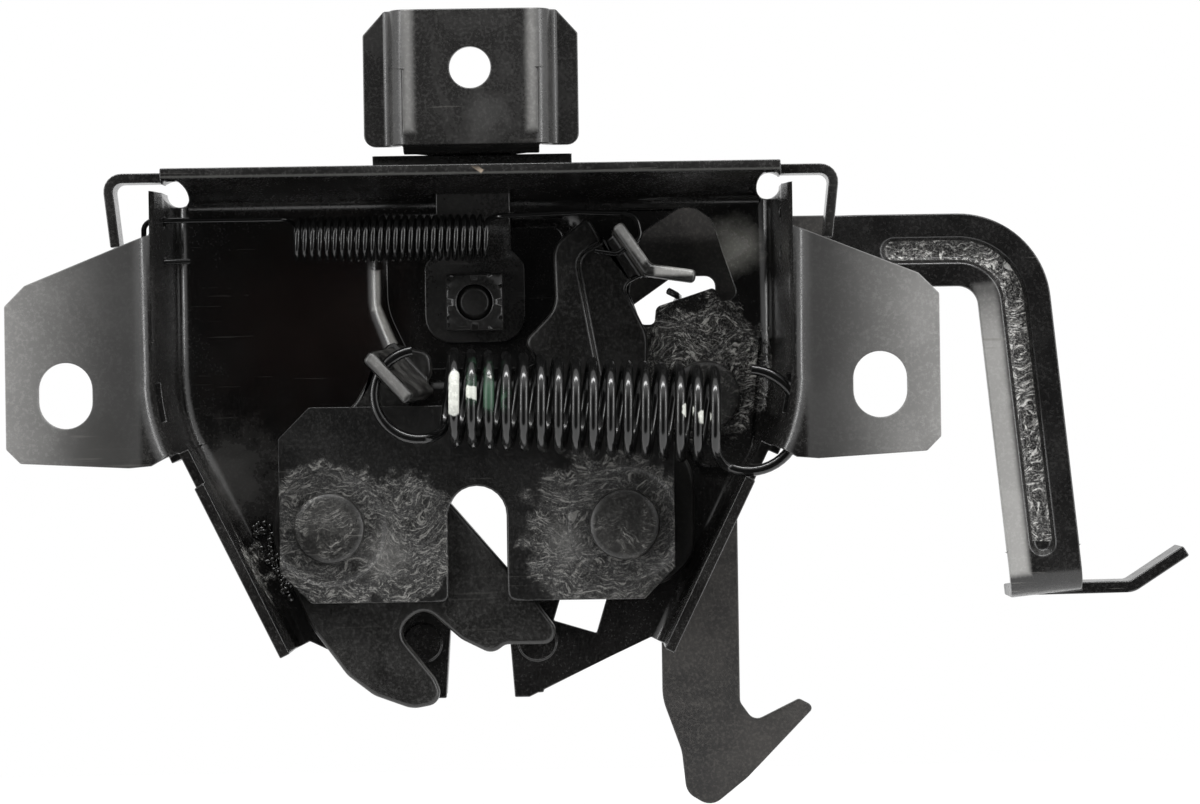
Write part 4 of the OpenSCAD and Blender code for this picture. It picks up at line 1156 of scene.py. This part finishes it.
@dataclass
class Studio:
    """Camera, lights, floor and world.

    Attributes:
        eye: The camera's place, in metres.
        field_w: Width of the view at the wings, in metres.
        roll: Clockwise roll of the camera, in degrees.
        floor_gap: Distance of the floor below the latch, in metres.
        floor_near: Front edge of the floor, in metres.
        floor_far: Rear edge of the floor, in metres.
        floor_half: Half width of the floor, in metres.
        floor_tone: Grey of the floor.
        floor_glow: Share of white that the eye sees instead of the floor's grey.
        front_level: Brightness of the room on the camera's side.
        side_level: Brightness of the room at both sides.
        top_level: Brightness of the room above.
        boxes: The lamps.
    """

    eye: Point = (0.0211, -0.8, -0.0023)
    field_w: float = 0.2
    roll: float = 0.85
    floor_gap: float = 0.002
    floor_near: float = -0.05
    floor_far: float = 0.13
    floor_half: float = 0.42
    floor_tone: float = 0.88
    floor_glow: float = 0.8
    front_level: float = 0.03
    side_level: float = 1.7
    top_level: float = 1.3
    boxes: tuple[SoftBox, ...] = (
        SoftBox("top_box", (0.0, -0.26, 0.6), (0.0, 0.0, 0.0), 0.8, 0.07, 4.5),
        SoftBox("left_box", (-0.6, -0.34, 0.14), (0.0, 0.0, 0.0), 0.06, 0.7, 2.0),
        SoftBox("right_box", (0.64, -0.32, 0.14), (0.03, 0.0, 0.0), 0.06, 0.7, 2.0),
    )

    def build(self, low: Vector) -> None:
        """Set up everything round the latch.

        Args:
            low: Lowest corner of the latch.
        """
        scene = bpy.context.scene
        scene.view_settings.view_transform = "Standard"
        self.camera(scene)
        self.world(scene)
        for box in self.boxes:
            box.hang()
        self.floor(low.z - self.floor_gap)

    def camera(self, scene: Scene) -> None:
        """Place the camera at the photograph's viewpoint.

        Args:
            scene: The scene to shoot.
        """
        lens = bpy.data.cameras.new("eye")
        lens.sensor_width = 36.0
        lens.lens = lens.sensor_width * abs(self.eye[1]) / self.field_w
        lens.clip_start = 0.01
        holder = shown("eye", lens)
        turn = Matrix.Rotation(math.radians(self.roll), 4, "Y") @ Matrix.Rotation(math.radians(90), 4, "X")
        holder.matrix_world = Matrix.Translation(self.eye) @ turn
        scene.camera = holder

    def world(self, scene: Scene) -> None:
        """White to the eye, and a soft room that is darker on the camera's side.

        Args:
            scene: The scene to light.
        """
        world = bpy.data.worlds.new("room")
        sheet = NodeSheet(emptied(world))
        place = sheet.add("ShaderNodeTexCoord").outputs["Generated"]
        way = sheet.add("ShaderNodeSeparateXYZ", {0: place})
        back = sheet.ramp(way.outputs["Y"], 0.0, 0.5, self.front_level, 1.0)
        side = sheet.ramp(sheet.math("ABSOLUTE", way.outputs["X"]), 0.36, 0.7, 0.0, self.side_level)
        above = sheet.ramp(way.outputs["Z"], 0.34, 0.75, 0.0, self.top_level)
        room = sheet.math("MAXIMUM", back, sheet.math("MAXIMUM", side, above))
        path = sheet.add("ShaderNodeLightPath").outputs
        mirrored = sheet.times(path["Is Glossy Ray"], sheet.ramp(way.outputs["Y"], 0.0, 0.3))
        through = sheet.math("MAXIMUM", path["Is Camera Ray"], path["Is Transmission Ray"])
        level = sheet.ramp(sheet.math("MAXIMUM", through, mirrored), 0.0, 1.0, room, 1.0)
        light = sheet.add("ShaderNodeBackground", {"Color": (1.0, 1.0, 1.0, 1.0), "Strength": level})
        sheet.add("ShaderNodeOutputWorld", {"Surface": light.outputs["Background"]})
        scene.world = world

    def floor(self, height: float) -> None:
        """Lay a pale floor that stays nearly white to the eye and keeps a soft shadow.

        Args:
            height: Its height, in metres.
        """
        mesh = bpy.data.meshes.new("floor")
        half, near, far = self.floor_half, self.floor_near, self.floor_far
        rim = [(-half, near, height), (half, near, height), (half, far, height), (-half, far, height)]
        mesh.from_pydata(rim, [], [(0, 1, 2, 3)])
        coat = bpy.data.materials.new("pale_floor")
        sheet = NodeSheet(emptied(coat))
        matte = sheet.add("ShaderNodeBsdfDiffuse", {"Color": (*[self.floor_tone] * 3, 1.0)})
        glow = sheet.add("ShaderNodeEmission")
        seen = sheet.times(sheet.add("ShaderNodeLightPath").outputs["Is Camera Ray"], self.floor_glow)
        mixed = sheet.add("ShaderNodeMixShader", {0: seen, 1: matte.outputs[0], 2: glow.outputs[0]})
        sheet.add("ShaderNodeOutputMaterial", {"Surface": mixed.outputs[0]})
        mesh.materials.append(coat)
        shown("floor", mesh)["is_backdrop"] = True


@dataclass
class Latch:
    """The whole latch, sub-assembly by sub-assembly.

    Attributes:
        stamped: Every rigid piece.
        grease_patch: Corners of the patch of grease lumps by the fork, in millimetres.
    """

    stamped: tuple[StampedPiece, ...] = (
        StampedPiece("base_plate", Body.BASE, PAN_COAT, Slot.PAN, 0.22,
                     (((-18.2, 19.9, 0.8), (18.2, 20.1, 31.0), 1.8),)),
        StampedPiece("top_bracket", Body.BASE, BRACKET_COAT, Slot.PAN),
        StampedPiece("front_plate", Body.BASE, PLATE_COAT, Slot.PAN, 0.15,
                     (((-8.0, 5.0, -50.0), (8.0, 20.0, -8.0), 0.4),)),
        StampedPiece("bracket_nut", Body.BASE, NUT_COAT, Slot.RIVET),
        StampedPiece("bracket_bolt", Body.BASE, NUT_COAT, Slot.RIVET),
        StampedPiece("fork", Body.FORK, LEVER_COAT, Slot.LEVER, 0.7),
        StampedPiece("pawl", Body.PAWL, LEVER_COAT, Slot.LEVER, 0.65),
        StampedPiece("safety_hook", Body.SAFETY, HOOK_COAT, Slot.HOOK, 0.3),
        StampedPiece("release_handle", Body.SAFETY, HANDLE_COAT, Slot.LEVER, 0.3),
        *(StampedPiece(name, Body.BASE, RIVET_COAT, Slot.RIVET, 0.2)
          for name in ("fork_rivet", "pawl_rivet", "safety_rivet")),
        *(StampedPiece(name, Body.BASE, RIVET_COAT, Slot.RIVET, 0.15)
          for name in ("fork_bush", "pawl_bush", "safety_bush", "safety_washer")),
        StampedPiece("safety_spring", Body.BASE, WIRE_COAT, Slot.SPRING, 0.05),
    )
    grease_patch: tuple[Point, ...] = (
        (-39.5, 19.8, -22.0), (-35.6, 19.8, -22.0), (-31.5, 19.8, -35.0), (-33.2, 19.8, -35.0))

    def build(self) -> list[Object]:
        """Build every piece.

        Returns:
            The pieces in the order they were made.
        """
        made = [piece.build() for piece in self.stamped]
        springs = Springs()
        made += [springs.fork_spring(), springs.pawl_spring()]
        made.append(GreaseCrumbs().scatter(
            "grease_by_fork", self.grease_patch, per_square=1.3, lump=0.55, seed=7))
        return made


def main() -> None:
    """Build the latch and its studio."""
    logging.basicConfig(level=logging.INFO, format="%(message)s")
    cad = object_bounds()
    for piece in Latch().build():
        LOG.info("%s: %d faces", piece.name, len(piece.data.polygons))
    Studio().build(cad[0])


if __name__ == "__main__":
    main()
